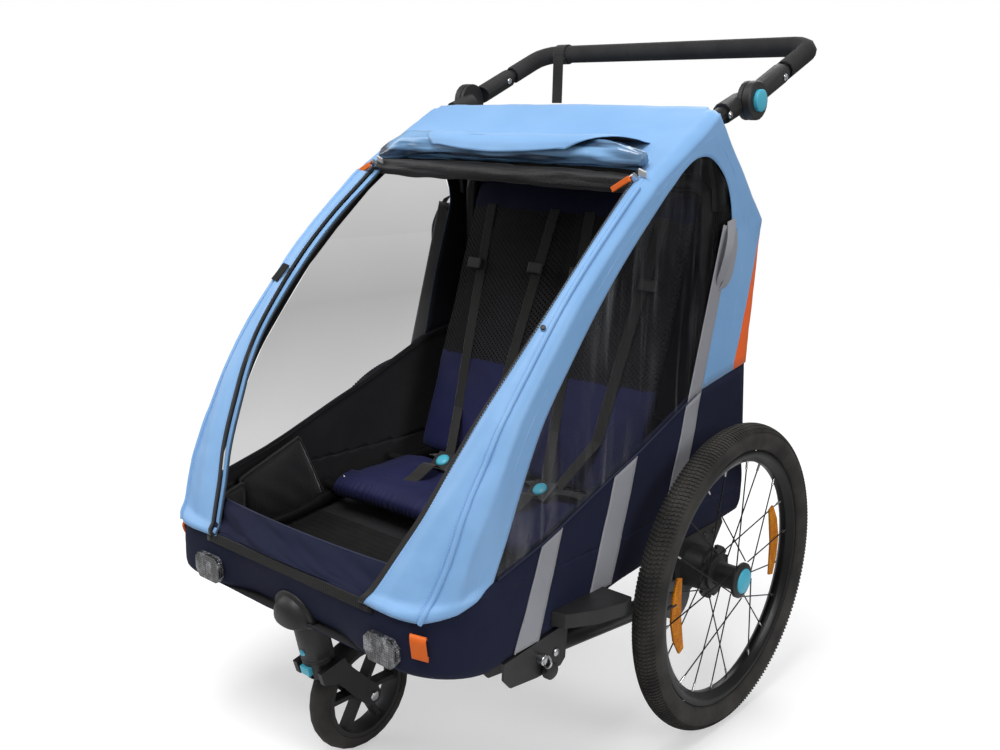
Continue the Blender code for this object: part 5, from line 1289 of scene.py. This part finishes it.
def spoke_lines():
    """Spokes from both flanges to the rim, every other pair leaning forward, and their nipples."""
    lines, ends = [], []
    lean = math.radians(SPOKE_LEAN)
    for k in range(SPOKES):
        angle = math.tau * (k + 0.5) / SPOKES
        side = 1 if k % 2 == 0 else -1
        leading = (k // 2) % 2 == 0
        hub_angle = angle + (lean if leading else -lean)
        shift = 0.0016 if leading else -0.0016
        hub_x = side * (0.0240 if side > 0 else 0.0205) + shift
        start = Vector((hub_x, FLANGE_R * math.cos(hub_angle), FLANGE_R * math.sin(hub_angle)))
        end = Vector((side * 0.0018 + shift, RIM_HOLE_R * math.cos(angle), RIM_HOLE_R * math.sin(angle)))
        lines.append([start, end])
        ends.append([end + (start - end).normalized() * 0.0135, end])
    return lines, ends


def wheel_piece(obj, side, name):
    """The piece in its own wheel: left as made, right mirrored."""
    if side == "right":
        twin = other_side(obj, name)
        bpy.data.objects.remove(obj)
        obj = twin
    obj.name = name
    obj.data.transform(Matrix.Translation((HUB_X if side == "left" else -HUB_X, AXLE_Y, WHEEL_R)))
    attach(obj, "rear_wheel_" + side)
    return obj


low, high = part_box("rear_tyre_left")
HUB_X = (low.x + high.x) / 2
for side, _ in SIDES:
    tread = grown(tread_patch(), ROUND, "tyre_rubber", Count=TREAD_PITCHES)
    tyre = joined("rear_tyre_shape", [tyre_carcass(), tread])
    box_uv(tyre)
    tyre = wheel_piece(tyre, side, "rear_tyre_shape_" + side)
    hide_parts("rear_tyre_" + side)
    rim = wheel_piece(revolved("rim", rim_profile(), 96, "black_alloy"), side, "rear_rim_" + side)
    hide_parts("spoked_rim_" + side)
    lines, ends = spoke_lines()
    wheel_piece(wires("spokes", lines, "black_alloy", 0.0011, 8), side, "rear_spokes_" + side)
    wheel_piece(wires("nipples", ends, "bright_steel", 0.0019, 8), side, "spoke_nipples_" + side)
    stem = [[Vector((0, -0.1890, 0.002)), Vector((0, -0.1560, 0.002))]]
    wheel_piece(wires("valve", stem, "black_plastic", 0.0030, 10), side, "tyre_valve_" + side)
print("wheel at x", round(HUB_X, 4), "tyre faces", len(tyre.data.polygons))

# %% [markdown]
# ## Solids that stay
# Tubes, hubs, brackets, buttons and bolts keep their own mesh. Each gets its finish, small bevels
# on its sharp edges, and normals weighted by face so that flats stay flat.

# %% Dressing the solids
def dress(node, finish, bevel, angle):
    obj = nodes[node]
    obj.data.materials.clear()
    obj.data.materials.append(FINISHES[finish])
    obj.data.polygons.foreach_set("use_smooth", [True] * len(obj.data.polygons))
    weld = obj.modifiers.new("merge", "WELD")
    weld.merge_threshold = 0.00002
    edge = obj.modifiers.new("edges", "BEVEL")
    edge.limit_method = "ANGLE"
    edge.angle_limit = math.radians(angle)
    edge.width = bevel
    edge.segments = 2
    edge.harden_normals = False
    weight = obj.modifiers.new("flats", "WEIGHTED_NORMAL")
    weight.weight = 60
    weight.keep_sharp = True


def both(*names):
    return [name + "_" + side for name in names for side, _ in SIDES]


DRESSED = (
    ("black_plastic", 0.0008, 42, ["rear_axle", "caster_fork", "tow_bracket", "tow_knob", "brake_pedal",
                                   "caster_rim", *both("step", "handle_hub", "handle_arm", "wheel_hub")]),
    ("black_tube", 0.0005, 50, ["floor_frame", "front_hoop", "handlebar_tube", "tow_arm", "back_frame"]),
    ("cyan_plastic", 0.0004, 42, ["caster_release_button", "swivel_lever",
                                  *both("release_cap", "hub_button")]),
    ("bright_steel", 0.0004, 42, ["tow_pin", "tow_bolt", "caster_axle_bolt", *both("handle_bolt")]),
    ("amber_lens", 0.0005, 42, both("front_spoke_reflector", "rear_spoke_reflector")),
    ("clear_lens", 0.0006, 42, both("front_reflector")),
    ("grey_plastic", 0.0006, 42, ["tow_coupling"]),
    ("tyre_rubber", 0.0010, 50, ["caster_tyre"]),
    ("mat_rubber", 0.0010, 42, ["floor_mat"]),
    ("black_foam", 0.0020, 50, ["handlebar_grip"]),
)
for finish, bevel, angle, names in DRESSED:
    for name in names:
        dress(name, finish, bevel, angle)
print("dressed", sum(len(names) for *_, names in DRESSED), "solids")

# %% [markdown]
# ## Seat
# The seat base and back are stuffed cloth. The back has a navy lower part, net in the middle and
# a navy top. In front of the base the cloth is gathered round the seat's bar. The harness webbing
# and the wrist loop keep the solids' paths, and only their edges become soft.

# %% Seat
seat = stuffed("seat_cushion", "seat_base", "seat_navy", 0.0055, 10, 0.0022, 0.07)
seat.data.transform(Matrix.Diagonal((1.035, 1, 1, 1)))
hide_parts("seat_base")
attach(seat, "chassis")
SKIRT_HALF = 0.2420
profile = smooth_line([(0, -0.2600, 0.3535), (0, -0.2840, 0.3490), (0, -0.2985, 0.3390), (0, -0.3020, 0.3290),
                       (0, -0.2975, 0.3165), (0, -0.2850, 0.3095), (0, -0.2700, 0.3100)], 4)
skirt_rows = []
for x in np.linspace(-SKIRT_HALF, SKIRT_HALF, 160):
    gather = 0.0011 * math.sin(x * 560 + 2.0 * math.sin(x * 90))
    gather += 0.0016 * noise.noise(Vector((x * 28, 0, 4)))
    bend = 0.006 * (1 - (x / SKIRT_HALF) ** 4)
    skirt_rows.append([at(x, p.y - gather * math.sin(math.pi * k / 24), p.z - 0.006 + bend)
                       for k, p in enumerate(profile)])
skirt = grid_piece("seat_skirt", skirt_rows, "seat_navy")
face_away(skirt, at(0, -0.270, 0.322))
thicken(skirt, 0.0016)
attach(skirt, "chassis")
rest = stuffed("seat_rest", "seat_back", "seat_navy", 0.0060, 8, 0.0020, 0.09, seed=6)
rest.data.materials.append(FINISHES["net_cloth"])
rest.data.materials.append(FINISHES["navy_cloth"])
for face in rest.data.polygons:
    height = face.center.z
    face.material_index = 0 if height < 0.535 else 1 if height < 0.800 else 2
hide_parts("seat_back")
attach(rest, "back_frame")
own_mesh(rest)
print("seat", len(seat.data.polygons), "faces, back", len(rest.data.polygons))
for side, _ in SIDES:
    strap = stuffed("webbing_" + side, "harness_" + side, "black_web", 0.0015, 1)
    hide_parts("harness_" + side)
    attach(strap, body_of(nodes["harness_" + side])[0])
    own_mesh(strap)
loop = stuffed("wrist_loop", "wrist_strap", "black_web", 0.0010, 1)
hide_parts("wrist_strap")
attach(loop, "push_bar")

# %% [markdown]
# ## Front edge of the roof
# The clear front cover and the black net are rolled up under the roof's front edge. A curved flap
# of the roof cloth comes down over the middle of the rolls and holds them.

# %% Rolls and flap
ROLL_SIDES = 26


def crumpled_roll(name, centre, radius, finish, folds, seed, blunt=0.80):
    """Soft roll along a line, with creases that run along it and ends drawn in to `blunt`."""
    line = even_line(centre, 0.006)
    rows = []
    for k, p in enumerate(line):
        end = math.sin(min(k, len(line) - 1 - k, 12) / 12 * math.pi / 2)
        row = []
        for j in range(ROLL_SIDES + 1):
            turn = math.tau * (j % ROLL_SIDES) / ROLL_SIDES
            ray = Vector((0, math.cos(turn), math.sin(turn)))
            wave = noise.noise(Vector((p.x * 7, math.cos(turn) * 1.7 + seed, math.sin(turn) * 1.7)))
            fine = noise.noise(Vector((p.x * 22, math.cos(turn) * 4 + seed, math.sin(turn) * 4)))
            row.append(p + ray * radius * (blunt + (1 - blunt) * end) * (1 + folds * (wave + 0.5 * fine)))
        rows.append(row)
    obj = grid_piece(name, rows, finish)
    with editing(obj) as bm:
        bmesh.ops.holes_fill(bm, edges=[e for e in bm.edges if e.is_boundary], sides=0)
        bmesh.ops.recalc_face_normals(bm, faces=bm.faces)
    return obj


net_line = [at(-0.268, -0.1690, 0.8730), at(0, -0.1740, 0.8745), at(0.268, -0.1690, 0.8690)]
net_roll = crumpled_roll("net_roll", net_line, 0.0140, "rolled_net", 0.30, 3.0)
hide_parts("cover_roll")
rain_line = [at(-0.266, -0.1640, 0.8930), at(-0.20, -0.1650, 0.9110), at(-0.10, -0.1665, 0.9140),
             at(0.10, -0.1660, 0.9120), at(0.20, -0.1650, 0.9120), at(0.278, -0.1650, 0.9030)]
rain_roll = crumpled_roll("rain_roll", rain_line, 0.0205, "rolled_film", 0.30, 11.0, 0.50)
# Black band behind the rolls: painted shade, dark where the gap between the rolls would show the backdrop.
gap_shade_line = [at(x, -0.1590, 0.8890 + 0.004 * (1 - (x / 0.27) ** 2)) for x in np.linspace(-0.27, 0.27, 30)]
gap_shade = ribbon("roll_backing", gap_shade_line, Vector((0, 0, 1)), 0.034, "black_binding", 0.0012)
goes_with_cover(net_roll, rain_roll, gap_shade)


def flap_rows():
    profile = smooth_line([at(0, -0.0850, 0.9240), at(0, -0.1150, 0.9310), at(0, -0.1450, 0.9355),
                           at(0, -0.1700, 0.9375), at(0, -0.1900, 0.9280), at(0, -0.1970, 0.9110)], 5)
    rows = []
    for k, p in enumerate(profile):
        t = k / (len(profile) - 1)
        left = -0.160 + 0.010 * t + 0.075 * max(t - 0.55, 0)
        right = 0.247 - 0.020 * t - 0.130 * max(t - 0.45, 0)
        row = []
        for j in range(41):
            u = j / 40
            edge = min(u, 1 - u, 0.06) / 0.06
            x = left + (right - left) * u
            sag = 0.0045 * math.sin(math.pi * u) * t
            drop = 0.006 * max(t - 0.6, 0) / 0.4 * (2 * u - 1) ** 2
            row.append(Vector((x, p.y + drop * 0.3, p.z - sag + drop - 0.003 * (1 - edge))))
        rows.append(row)
    return rows


flap = grid_piece("roof_flap", flap_rows(), "sky_cloth")
face_away(flap, at(0, -0.10, 0.80))
crumple(flap, 0.0022, 0.05, lift=0.1, stretch=(0.5, 1, 1), seed=4)
thicken(flap, 0.0012, "dark_lining")
goes_with_cover(flap)

# %% [markdown]
# ## Seams, zips and tabs of the cover
# Black tape binds the inner edge of both strips. The zip lies inside it: on the near side its
# black tape is tucked behind the binding, on the far side it shows blue with a dark edge. A fold of
# the cover's own cloth runs down the ridge, and rows of light stitches follow strips and windows.

# %% Seams and zips
COVER_TREE = surface_tree(cover.data)


def on_strip(share, first, last, out, sign):
    """Line on a strip, at a share of the way from its inner edge to the ridge, with its normals."""
    line = []
    for row in STRIP_ROWS[first:last + 1]:
        spot = share * (len(row) - 1)
        j = min(int(spot), len(row) - 2)
        p = row[j].lerp(row[j + 1], spot - j)
        p.x *= sign
        hit, normal, _, _ = COVER_TREE.find_nearest(p)
        if normal.z + -normal.y < 0:
            normal = -normal
        line.append((hit + normal * out, normal))
    return line


def along_opening(inside, sign, back, first=1):
    """Line beside the opening's edge: inside is the distance in towards the middle."""
    line, sides = [], []
    for k in range(first, ROOF_FRONT * PER + 1):
        edge, ridge = over_tub(opening_line[k]), over_tub(ridge_line[k])
        inward_way = (edge - ridge).normalized()
        p = edge + inward_way * inside + Vector((0, back, -back * 0.7))
        line.append(Vector((p.x * sign, p.y, p.z)))
        sides.append(Vector((inward_way.x * sign, inward_way.y, inward_way.z)))
    return line, sides


ZIPS = {
    "left": {
        "binding": 0.0085, "tape": (0.0030, 0.0120), "teeth": (0.0060, 0.0120), "cloth": "black_binding",
    },
    "right": {
        "binding": 0.0055, "tape": (0.0075, 0.0030), "teeth": (0.0125, 0.0018), "cloth": "sky_cloth",
    },
}
trims = []
for side, sign in SIDES:
    zip_ = ZIPS[side]
    line, across = along_opening(-0.0020, sign, -0.0006, first=0)
    trims.append(ribbon("edge_binding_" + side, line, across, zip_["binding"], "black_binding", 0.0030))
    line, across = along_opening(zip_["tape"][0], sign, zip_["tape"][1])
    trims.append(ribbon("zip_tape_" + side, line, across, 0.0130, zip_["cloth"], 0.0010))
    line, across = along_opening(zip_["teeth"][0], sign, zip_["teeth"][1])
    if side == "right":
        behind = [p + Vector((0, 0.0012, 0)) for p in line]
        trims.append(ribbon("zip_edge", behind, across, 0.0052, "black_binding", 0.0012))
    teeth = [(p, Vector((0, -0.75, 0.66))) for p in line]
    trims.append(sewn("zip_teeth_" + side, [teeth], "tooth_blue", 0.0030, TOOTH_SHAPE))
    fold = [p for p, _ in on_strip(0.985, 0, 64, 0.0006, sign)]
    trims.append(wires("cover_fold_" + side, [fold], "sky_cloth", 0.0034, 10))
    rows = [on_strip(0.90, 2, 69, 0.0010, sign), on_strip(0.12, 4, 69, 0.0010, sign)]
    trims.append(sewn("strip_stitches_" + side, rows, "sky_thread"))
    beside = [row[8] for row in SIDE_ROWS[4:SIDE_END * PER - 4]]
    seam = [(Vector(((p.x + 0.0008) * sign, p.y, p.z)), Vector((sign, 0, 0))) for p in beside]
    trims.append(sewn("window_stitches_" + side, [seam], "sky_thread"))
goes_with_cover(*trims)
print(len(trims), "seams and tapes")

# %% [markdown]
# Small sewn parts: orange zip pulls with bright sliders, a patch of hook tape, a snap, and white
# webbing that peeks out where the rolls are tied.

# %% Small sewn parts
def block(name, size, place, finish, turn=(0, 0, 0), edge=0.0012):
    bm = bmesh.new()
    bmesh.ops.create_cube(bm, size=1)
    bmesh.ops.scale(bm, vec=size, verts=bm.verts)
    bmesh.ops.bevel(bm, geom=bm.edges[:], offset=edge, segments=2, affect="EDGES", profile=0.6)
    spin = (Matrix.Rotation(math.radians(turn[2]), 4, "Z") @ Matrix.Rotation(math.radians(turn[1]), 4, "Y")
            @ Matrix.Rotation(math.radians(turn[0]), 4, "X"))
    bmesh.ops.transform(bm, matrix=Matrix.Translation(place) @ spin, verts=bm.verts)
    obj = finished(name, bm, finish)
    box_uv(obj)
    return obj


small = []
for side, x, tilt in (("left", 0.2600, -31), ("right", -0.2800, -26)):
    small += [
        block("zip_pull_" + side, (0.034, 0.0045, 0.0085), at(x, -0.1960, 0.8690), "orange_web",
              (0, tilt, 0)),
        block("zip_slider_" + side, (0.010, 0.006, 0.012), at(x + 0.0165, -0.1885, 0.8790), "bright_steel",
              (40, tilt, 0), 0.0016),
        block("tie_web_" + side, (0.014, 0.003, 0.011), at(x + 0.0270, -0.1830, 0.8850), "white_web",
              (30, 20, 0))]
middle, normal = on_strip(0.50, 47, 47, 0.0014, -1)[0]
turn = Matrix.Rotation(math.atan2(-normal.y, normal.z), 4, "X").to_euler()
small.append(block("hook_patch", (0.015, 0.034, 0.0022), middle, "hook_band", (math.degrees(turn.x), 10, 0),
                   0.0008))
snap_at, normal = on_strip(0.62, 46, 46, 0.0010, 1)[0]
snap = revolved("snap", [(0.0, 0.0), (0.0030, 0.0004), (0.0038, 0.0012), (0.0038, 0.0022), (0.0026, 0.0026),
                         (0.0, 0.0024)], 20, "black_plastic")
facing = Vector((1, 0, 0)).rotation_difference(normal).to_matrix().to_4x4()
snap.data.transform(Matrix.Translation(snap_at) @ facing)
small.append(snap)
goes_with_cover(*small)
print(len(small), "small sewn parts")

# %% [markdown]
# ## Bands on the sides
# Three grey reflective bands cross each side: two on the tub and a long one beside the window,
# which ends in a small turned-up tab. Navy piping closes the seam under the window.

# %% Bands
def wall_x(point):
    """Side of the tub or cover at a place, from outside."""
    x = BODY_HALF
    for tree in (COVER_TREE, TUB_TREE):
        hit = tree.ray_cast(Vector((BODY_HALF + 0.05, point.y, point.z)), Vector((-1, 0, 0)), 0.07)[0]
        if hit is not None:
            x = max(x, hit.x)
    return x


def with_twins(*pieces):
    """The pieces and their mirror images, named for the right side."""
    return [*pieces, *[other_side(piece, piece.name.replace("_left", "_right")) for piece in pieces]]


def patch_band(name, corners, out):
    """Band between four (y, z) corners, upper front first and then round, laid on the side."""
    a, b, c, d = [at(0, y, z) for y, z in corners]
    rows = []
    for k in range(25):
        left, right = a.lerp(d, k / 24), b.lerp(c, k / 24)
        spots = [left.lerp(right, j / 8) for j in range(9)]
        rows.append([Vector((wall_x(q) + out, q.y, q.z)) for q in spots])
    obj = grid_piece(name, rows, "grey_band")
    face_away(obj, at(0, -0.2, 0.5))
    # Its inside gets the pale webbing finish as painted light, for light that shines through the band; it
    # shows through the far window.
    thicken(obj, 0.0009, "white_web", offset=0)
    edges = []
    for j in (0, 8):
        line = [row[j].lerp(row[4], 0.09) + Vector((0.0006, 0, 0)) for row in rows]
        edges.append([(p, Vector((1, 0, 0))) for p in line])
    return with_twins(obj, sewn(name.replace("_left", "_stitches_left"), edges, "grey_thread", 0.0040))


bands = []
for place, tops, foot in (("front", (-0.404, -0.360), [(-0.404, 0.262), (-0.456, 0.260)]),
                          ("middle", (-0.242, -0.186), [(-0.238, 0.293), (-0.292, 0.289)]),
                          ("low", (-0.058, -0.016), [(-0.0700, 0.330), (-0.1180, 0.325)])):
    head = [(y, spread(TUB_TOP, y) - 0.001) for y in tops]
    bands += patch_band("band_%s_left" % place, head + foot, 0.0011)
rear = [(0.0180, 0.8050), (0.0480, 0.8000), (-0.0160, 0.548), (-0.0560, 0.533)]
on_cover = patch_band("band_rear_left", rear, 0.0012)
for name, lean, width, points in (
        ("rolled_tab_left", 0.30, 0.020, (
            (0.040, 0.812, 0.0015), (0.030, 0.790, 0.0090), (0.020, 0.765, 0.0120), (0.016, 0.745, 0.0100),
            (0.014, 0.727, 0.0060), (0.017, 0.716, 0.0025))),
        ("tab_under_left", 0.25, 0.022, (
            (0.047, 0.795, 0.0010), (0.043, 0.770, 0.0060), (0.038, 0.745, 0.0065), (0.033, 0.720, 0.0050),
            (0.024, 0.706, 0.0022)))):
    line = smooth_line([at(BODY_HALF + out, y, z) for y, z, out in points], 4)
    on_cover += with_twins(ribbon(name, line, Vector((0.10, 1, lean)), width, "grey_band", 0.0020))
sill = [at(BODY_HALF + 0.0006, y, spread(TUB_TOP, y) + 0.0020) for y in np.linspace(-0.492, -0.030, 60)]
on_cover += with_twins(wires("sill_piping_left", [sill], "navy_cloth_plain", 0.0014, 8))
for piece in bands:
    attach(piece, "chassis")
    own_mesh(piece)
goes_with_cover(*on_cover)
print(len(bands) + len(on_cover), "band pieces")

# %% [markdown]
# ## Front of the tub
# The hook band runs along the front's upper edge. A navy flap stands up behind it inside the
# cabin. Orange webbing: a tab beside the left reflector and a loop beside the right one.

# %% Front of the tub
def front_y(x, z):
    """Outside of the tub's front wall at a place."""
    hit = TUB_TREE.ray_cast(at(x, -0.75, z), Vector((0, 1, 0)), 0.3)[0]
    return hit.y - AXLE_Y if hit is not None else -0.598


def inner_flap_rows():
    foot_line = smooth_line([(0, -0.6000, 0.3440), (0, -0.5960, 0.3540), (0, -0.5830, 0.3680),
                             (0, -0.5715, 0.3820)], 6)
    rows = []
    for k, p in enumerate(foot_line):
        t = k / (len(foot_line) - 1)
        half = 0.186 + 0.012 * t
        row = []
        for x in np.linspace(-half, half, 90):
            fold = noise.noise(Vector((x * 11 + t * 1.6, t * 1.3, 1)))
            fold += 0.5 * noise.noise(Vector((x * 26 + t * 4, t * 2, 5)))
            out = 0.0075 * fold * math.sin(math.pi * t) ** 0.7
            row.append(at(x, p.y + 0.010 * (x / 0.2) ** 2 - out, p.z + 0.5 * out))
        rows.append(row)
    return rows


line = [at(x, front_y(x, 0.336) - 0.0016, 0.3350) for x in np.linspace(-0.180, 0.186, 40)]
front = [ribbon("hook_band", line, Vector((0, 0, 1)), 0.0150, "hook_band", 0.0022)]
rows = inner_flap_rows()
inner_flap = grid_piece("inner_flap", rows, "navy_cloth")
thicken(inner_flap, 0.0016, offset=0)
top_edge = [p + Vector((0, 0, 0.0004)) for p in rows[-1]]
front += [inner_flap, wires("flap_hem", [top_edge], "navy_cloth_plain", 0.0017, 8)]
TAB_PLACE, TAB_TURN, TAB_LEAN = (0.2630, front_y(0.262, 0.304) - 0.0014, 0.3050), 31, -0.10
turned = Matrix.Rotation(math.radians(TAB_TURN), 3, "Z")
tab = [at(*TAB_PLACE) + turned @ Vector((TAB_LEAN * (z - 0.305), -out, z - 0.305)) for out, z in (
    (0.0000, 0.3160), (0.0026, 0.3205), (0.0062, 0.3185), (0.0072, 0.3120), (0.0056, 0.2990),
    (0.0048, 0.2905), (0.0024, 0.2885), (0.0006, 0.2940))]
front.append(ribbon("orange_tab", smooth_line(tab, 4), turned @ Vector((1, 0, -0.16)), 0.0215, "orange_web",
                    0.0016))
loop = smooth_line([at(-0.2500, -0.5860, 0.3350), at(-0.2590, -0.5900, 0.3300), at(-0.2610, -0.5870, 0.3180),
                    at(-0.2560, -0.5830, 0.3080), at(-0.2510, -0.5840, 0.3000)], 5)
front.append(wires("orange_loop", [loop], "orange_web", 0.0024, 10))
for piece in front:
    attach(piece, "chassis")

# %% [markdown]
# Pockets line the foot well: a panel on each side wall with a bound edge, and a smaller one
# further forward.

# %% Pockets
def pocket(name, outline, x, bulge, sag):
    """Flat bag on the side wall: outline corners as (y, z), bulging towards the middle."""
    a, b, c, d = [Vector((0, y, z)) for y, z in outline]
    rows = []
    for k in range(17):
        v = k / 16
        row = []
        for j in range(21):
            u = j / 20
            p = a.lerp(b, u).lerp(d.lerp(c, u), v)
            p.z -= sag * 4 * u * (1 - u) * (1 - v)
            swell = bulge * (16 * u * (1 - u) * v * (1 - v)) ** 0.5
            fold = noise.noise(Vector((p.y * 22, p.z * 22, 3))) + 0.6 * math.sin((p.y * 0.8 + p.z) * 150)
            swell += 0.0022 * fold * swell / bulge
            row.append(at(x - swell, p.y, p.z))
        rows.append(row)
    bag = grid_piece(name, rows, "pocket_net")
    thicken(bag, 0.0012, offset=0)
    rim = [rows[0][j] for j in range(21)] + [rows[k][20] for k in range(1, 17)]
    rim += [rows[16][j] for j in range(19, -1, -1)] + [rows[k][0] for k in range(15, -1, -1)]
    return bag, wires(name + "_binding", [even_line(rim, 0.006)], "pocket_edge", 0.0032, 8)


linings = []
for name, outline, x, bulge, sag in (
        ("big_pocket", [(-0.452, 0.3040), (-0.2850, 0.2960), (-0.3380, 0.4120), (-0.462, 0.3640)],
         0.2920, 0.024, 0.026),
        ("small_pocket", [(-0.508, 0.3050), (-0.4720, 0.2980), (-0.4720, 0.3660), (-0.508, 0.3560)],
         0.2680, 0.010, 0.004)):
    bag, rim = pocket(name + "_left", outline, x, bulge, sag)
    linings += [bag, rim, other_side(bag, name + "_right"), other_side(rim, name + "_rim_right")]
for piece in linings:
    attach(piece, "chassis")
print(len(front), "front pieces,", len(linings), "pocket pieces")

# %% [markdown]
# ## Harness and small metal parts
# Sliders on the shoulder straps, hip straps that come from the back to each buckle, and the bolts
# and rivets that show on the push bar's stubs and beside the seat.

# %% Harness details
BUTTON = [(0.0, 0.0044), (0.0060, 0.0040), (0.0104, 0.0028), (0.0124, 0.0008), (0.0124, -0.0030),
          (0.0, -0.0030)]


def build_buckle(side):
    """Buckle that leans forward on its strap, and its round button."""
    low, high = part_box("buckle_button_" + side)
    middle = (low + high) / 2 + Vector((0, -0.002, 0.006))
    leant = Matrix.Translation(middle) @ Matrix.Rotation(math.radians(33), 4, "X")
    body = block("buckle_shape_" + side, (0.044, 0.040, 0.011), (0, 0, 0), "black_plastic", edge=0.0035)
    body.data.transform(leant @ Matrix.Translation((0, 0, -0.0060)))
    button = lathe("button_shape_" + side, BUTTON, 40, "cyan_plastic", leant)
    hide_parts("buckle_" + side)
    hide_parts("buckle_button_" + side)
    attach(body, body_of(nodes["buckle_" + side])[0])
    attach(button, body_of(nodes["buckle_button_" + side])[0])


for side, _ in SIDES:
    build_buckle(side)
for name, x, z in (("slider_a", -0.190, 0.700), ("slider_b", -0.046, 0.705), ("slider_c", 0.046, 0.705),
                   ("slider_d", 0.190, 0.700)):
    slider = block(name, (0.031, 0.006, 0.020), at(x, -0.006, z), "black_plastic", (-17, 0, 0), 0.0022)
    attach(slider, "back_frame")
    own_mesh(slider)
for side, sign in SIDES:
    x = sign * 0.110
    straps = []
    for k, (dx, dy) in enumerate(((0.075, 0.030), (-0.060, 0.036))):
        line = []
        for share in (0.25, 0.5, 0.75, 1.0):
            z = 0.3660 + 0.006 * math.sin(math.pi * share) - 0.004 * share
            line.append(at(x + dx * share, -0.158 + dy * share, z))
        straps.append(ribbon("hip_strap_%s_%d" % (side, k), smooth_line(line, 4), Vector((-dy, dx, 0)), 0.024,
                             "black_web", 0.0018))
    line = smooth_line([at(x, -0.186, 0.3660), at(x + 0.006, -0.205, 0.3760), at(x + 0.010, -0.228, 0.3700),
                        at(x + 0.004, -0.240, 0.3590), at(x, -0.250, 0.3530)], 5)
    straps.append(ribbon("crotch_strap_" + side, line, Vector((1, 0.15, 0)), 0.026, "black_web", 0.0018))
    for piece in straps:
        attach(piece, "chassis")
BOLT = [(0.0, 0.0), (0.0052, 0.0), (0.0052, 0.0020), (0.0040, 0.0034), (0.0, 0.0038)]
RIVET = [(0.0, 0.0), (0.0040, 0.0), (0.0036, 0.0016), (0.0, 0.0022)]
for side, sign in SIDES:
    stub = revolved("stub_bolt_" + side, BOLT, 20, "bright_steel")
    outward = Matrix.Rotation(0 if sign > 0 else math.pi, 4, "Z")
    stub.data.transform(Matrix.Translation(at(sign * (RIDGE_X + 0.0085), 0.0240, 0.9700)) @ outward)
    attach(stub, "front_hoop")
for side, sign in SIDES:
    rivet = revolved("seat_rivet_" + side, RIVET, 16, "bright_steel")
    forward = Matrix.Rotation(math.pi / 2, 4, "Z") @ Matrix.Rotation(math.pi, 4, "Z")
    rivet.data.transform(Matrix.Translation(at(sign * 0.2330, -0.2870, 0.3420)) @ forward)
    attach(rivet, "chassis")
print("buckles, sliders, straps, bolts and rivets on", len(SIDES), "sides")

# %% [markdown]
# ## Floor and light
# A pale floor and a white surround with large soft lamps, so the black parts keep their edges and
# the pale cloth does not clip.

# %% Stage
FLOOR_HALF, FADE = 6, {"start": 0.7, "end": 2.0}
WHITE = (1, 1, 1, 1)
LAMPS = (("key", (0.2, -1.6, 3.6), 1.8, 84), ("fill", (-3.0, -1.2, 2.0), 2.2, 30),
         ("side", (3.2, -0.4, 1.9), 1.4, 35), ("back", (-0.6, 2.8, 2.6), 2.0, 38))


def build_floor():
    """Takes the shadows near the wheels, and glows to plain white further out."""
    h = FLOOR_HALF
    mesh = bpy.data.meshes.new("floor")
    mesh.from_pydata([(-h, -h, 0), (h, -h, 0), (h, h, 0), (-h, h, 0)], [], [(0, 1, 2, 3)])
    floor = placed("floor", mesh)
    f = Finish("floor_paint", 0.85)
    away = f.node("ShaderNodeVectorMath", {0: f.place}, operation="LENGTH").outputs["Value"]
    near = f.ranged(away, **FADE, low=1.0, high=0.0)
    grey = f.ramp(f.noise(0.6, 2.0), (0.66, 0.66, 0.66), (0.70, 0.70, 0.70))
    f.colour(f.mix(near, (0.02, 0.02, 0.02), grey))
    seen = f.node("ShaderNodeLightPath").outputs["Is Camera Ray"]
    glow = f.math("MULTIPLY", f.ranged(away, **FADE, low=0.42, high=1.0), seen)
    f.tree.links.new(glow, f.shader.inputs["Emission Strength"])
    f.shader.inputs["Emission Color"].default_value = WHITE
    mesh.materials.append(f.material)


def build_surround():
    """White where the camera looks at it, also through film, and dimmer as a light."""
    world = bpy.data.worlds.new("surround")
    world.use_nodes = True
    tree = world.node_tree
    back = tree.nodes["Background"]
    back.inputs["Color"].default_value = WHITE
    back.inputs["Strength"].default_value = 0.36
    white = add_node(tree, "ShaderNodeBackground", {"Color": WHITE, "Strength": 1.0})
    path = add_node(tree, "ShaderNodeLightPath").outputs
    seen = add_node(tree, "ShaderNodeMath", {0: path["Is Camera Ray"], 1: path["Is Transmission Ray"]},
                    operation="MAXIMUM")
    mix = add_node(tree, "ShaderNodeMixShader", {
        "Fac": seen.outputs[0], 1: back.outputs[0], 2: white.outputs[0]})
    tree.links.new(mix.outputs[0], tree.nodes["World Output"].inputs["Surface"])
    bpy.context.scene.world = world
    bpy.context.scene.view_settings.view_transform = "Standard"


def build_lamps():
    for name, place, size, power in LAMPS:
        lamp = bpy.data.lights.new(name, "AREA")
        lamp.energy = power
        lamp.size = size
        obj = placed(name, lamp)
        obj.location = place
        obj.rotation_euler = (Vector((0, 0, 0.5)) - Vector(place)).to_track_quat("-Z", "Y").to_euler()


build_floor()
build_surround()
build_lamps()
for shape in SHAPES:
    bpy.data.objects.remove(shape)
print(len(LAMPS), "lamps")
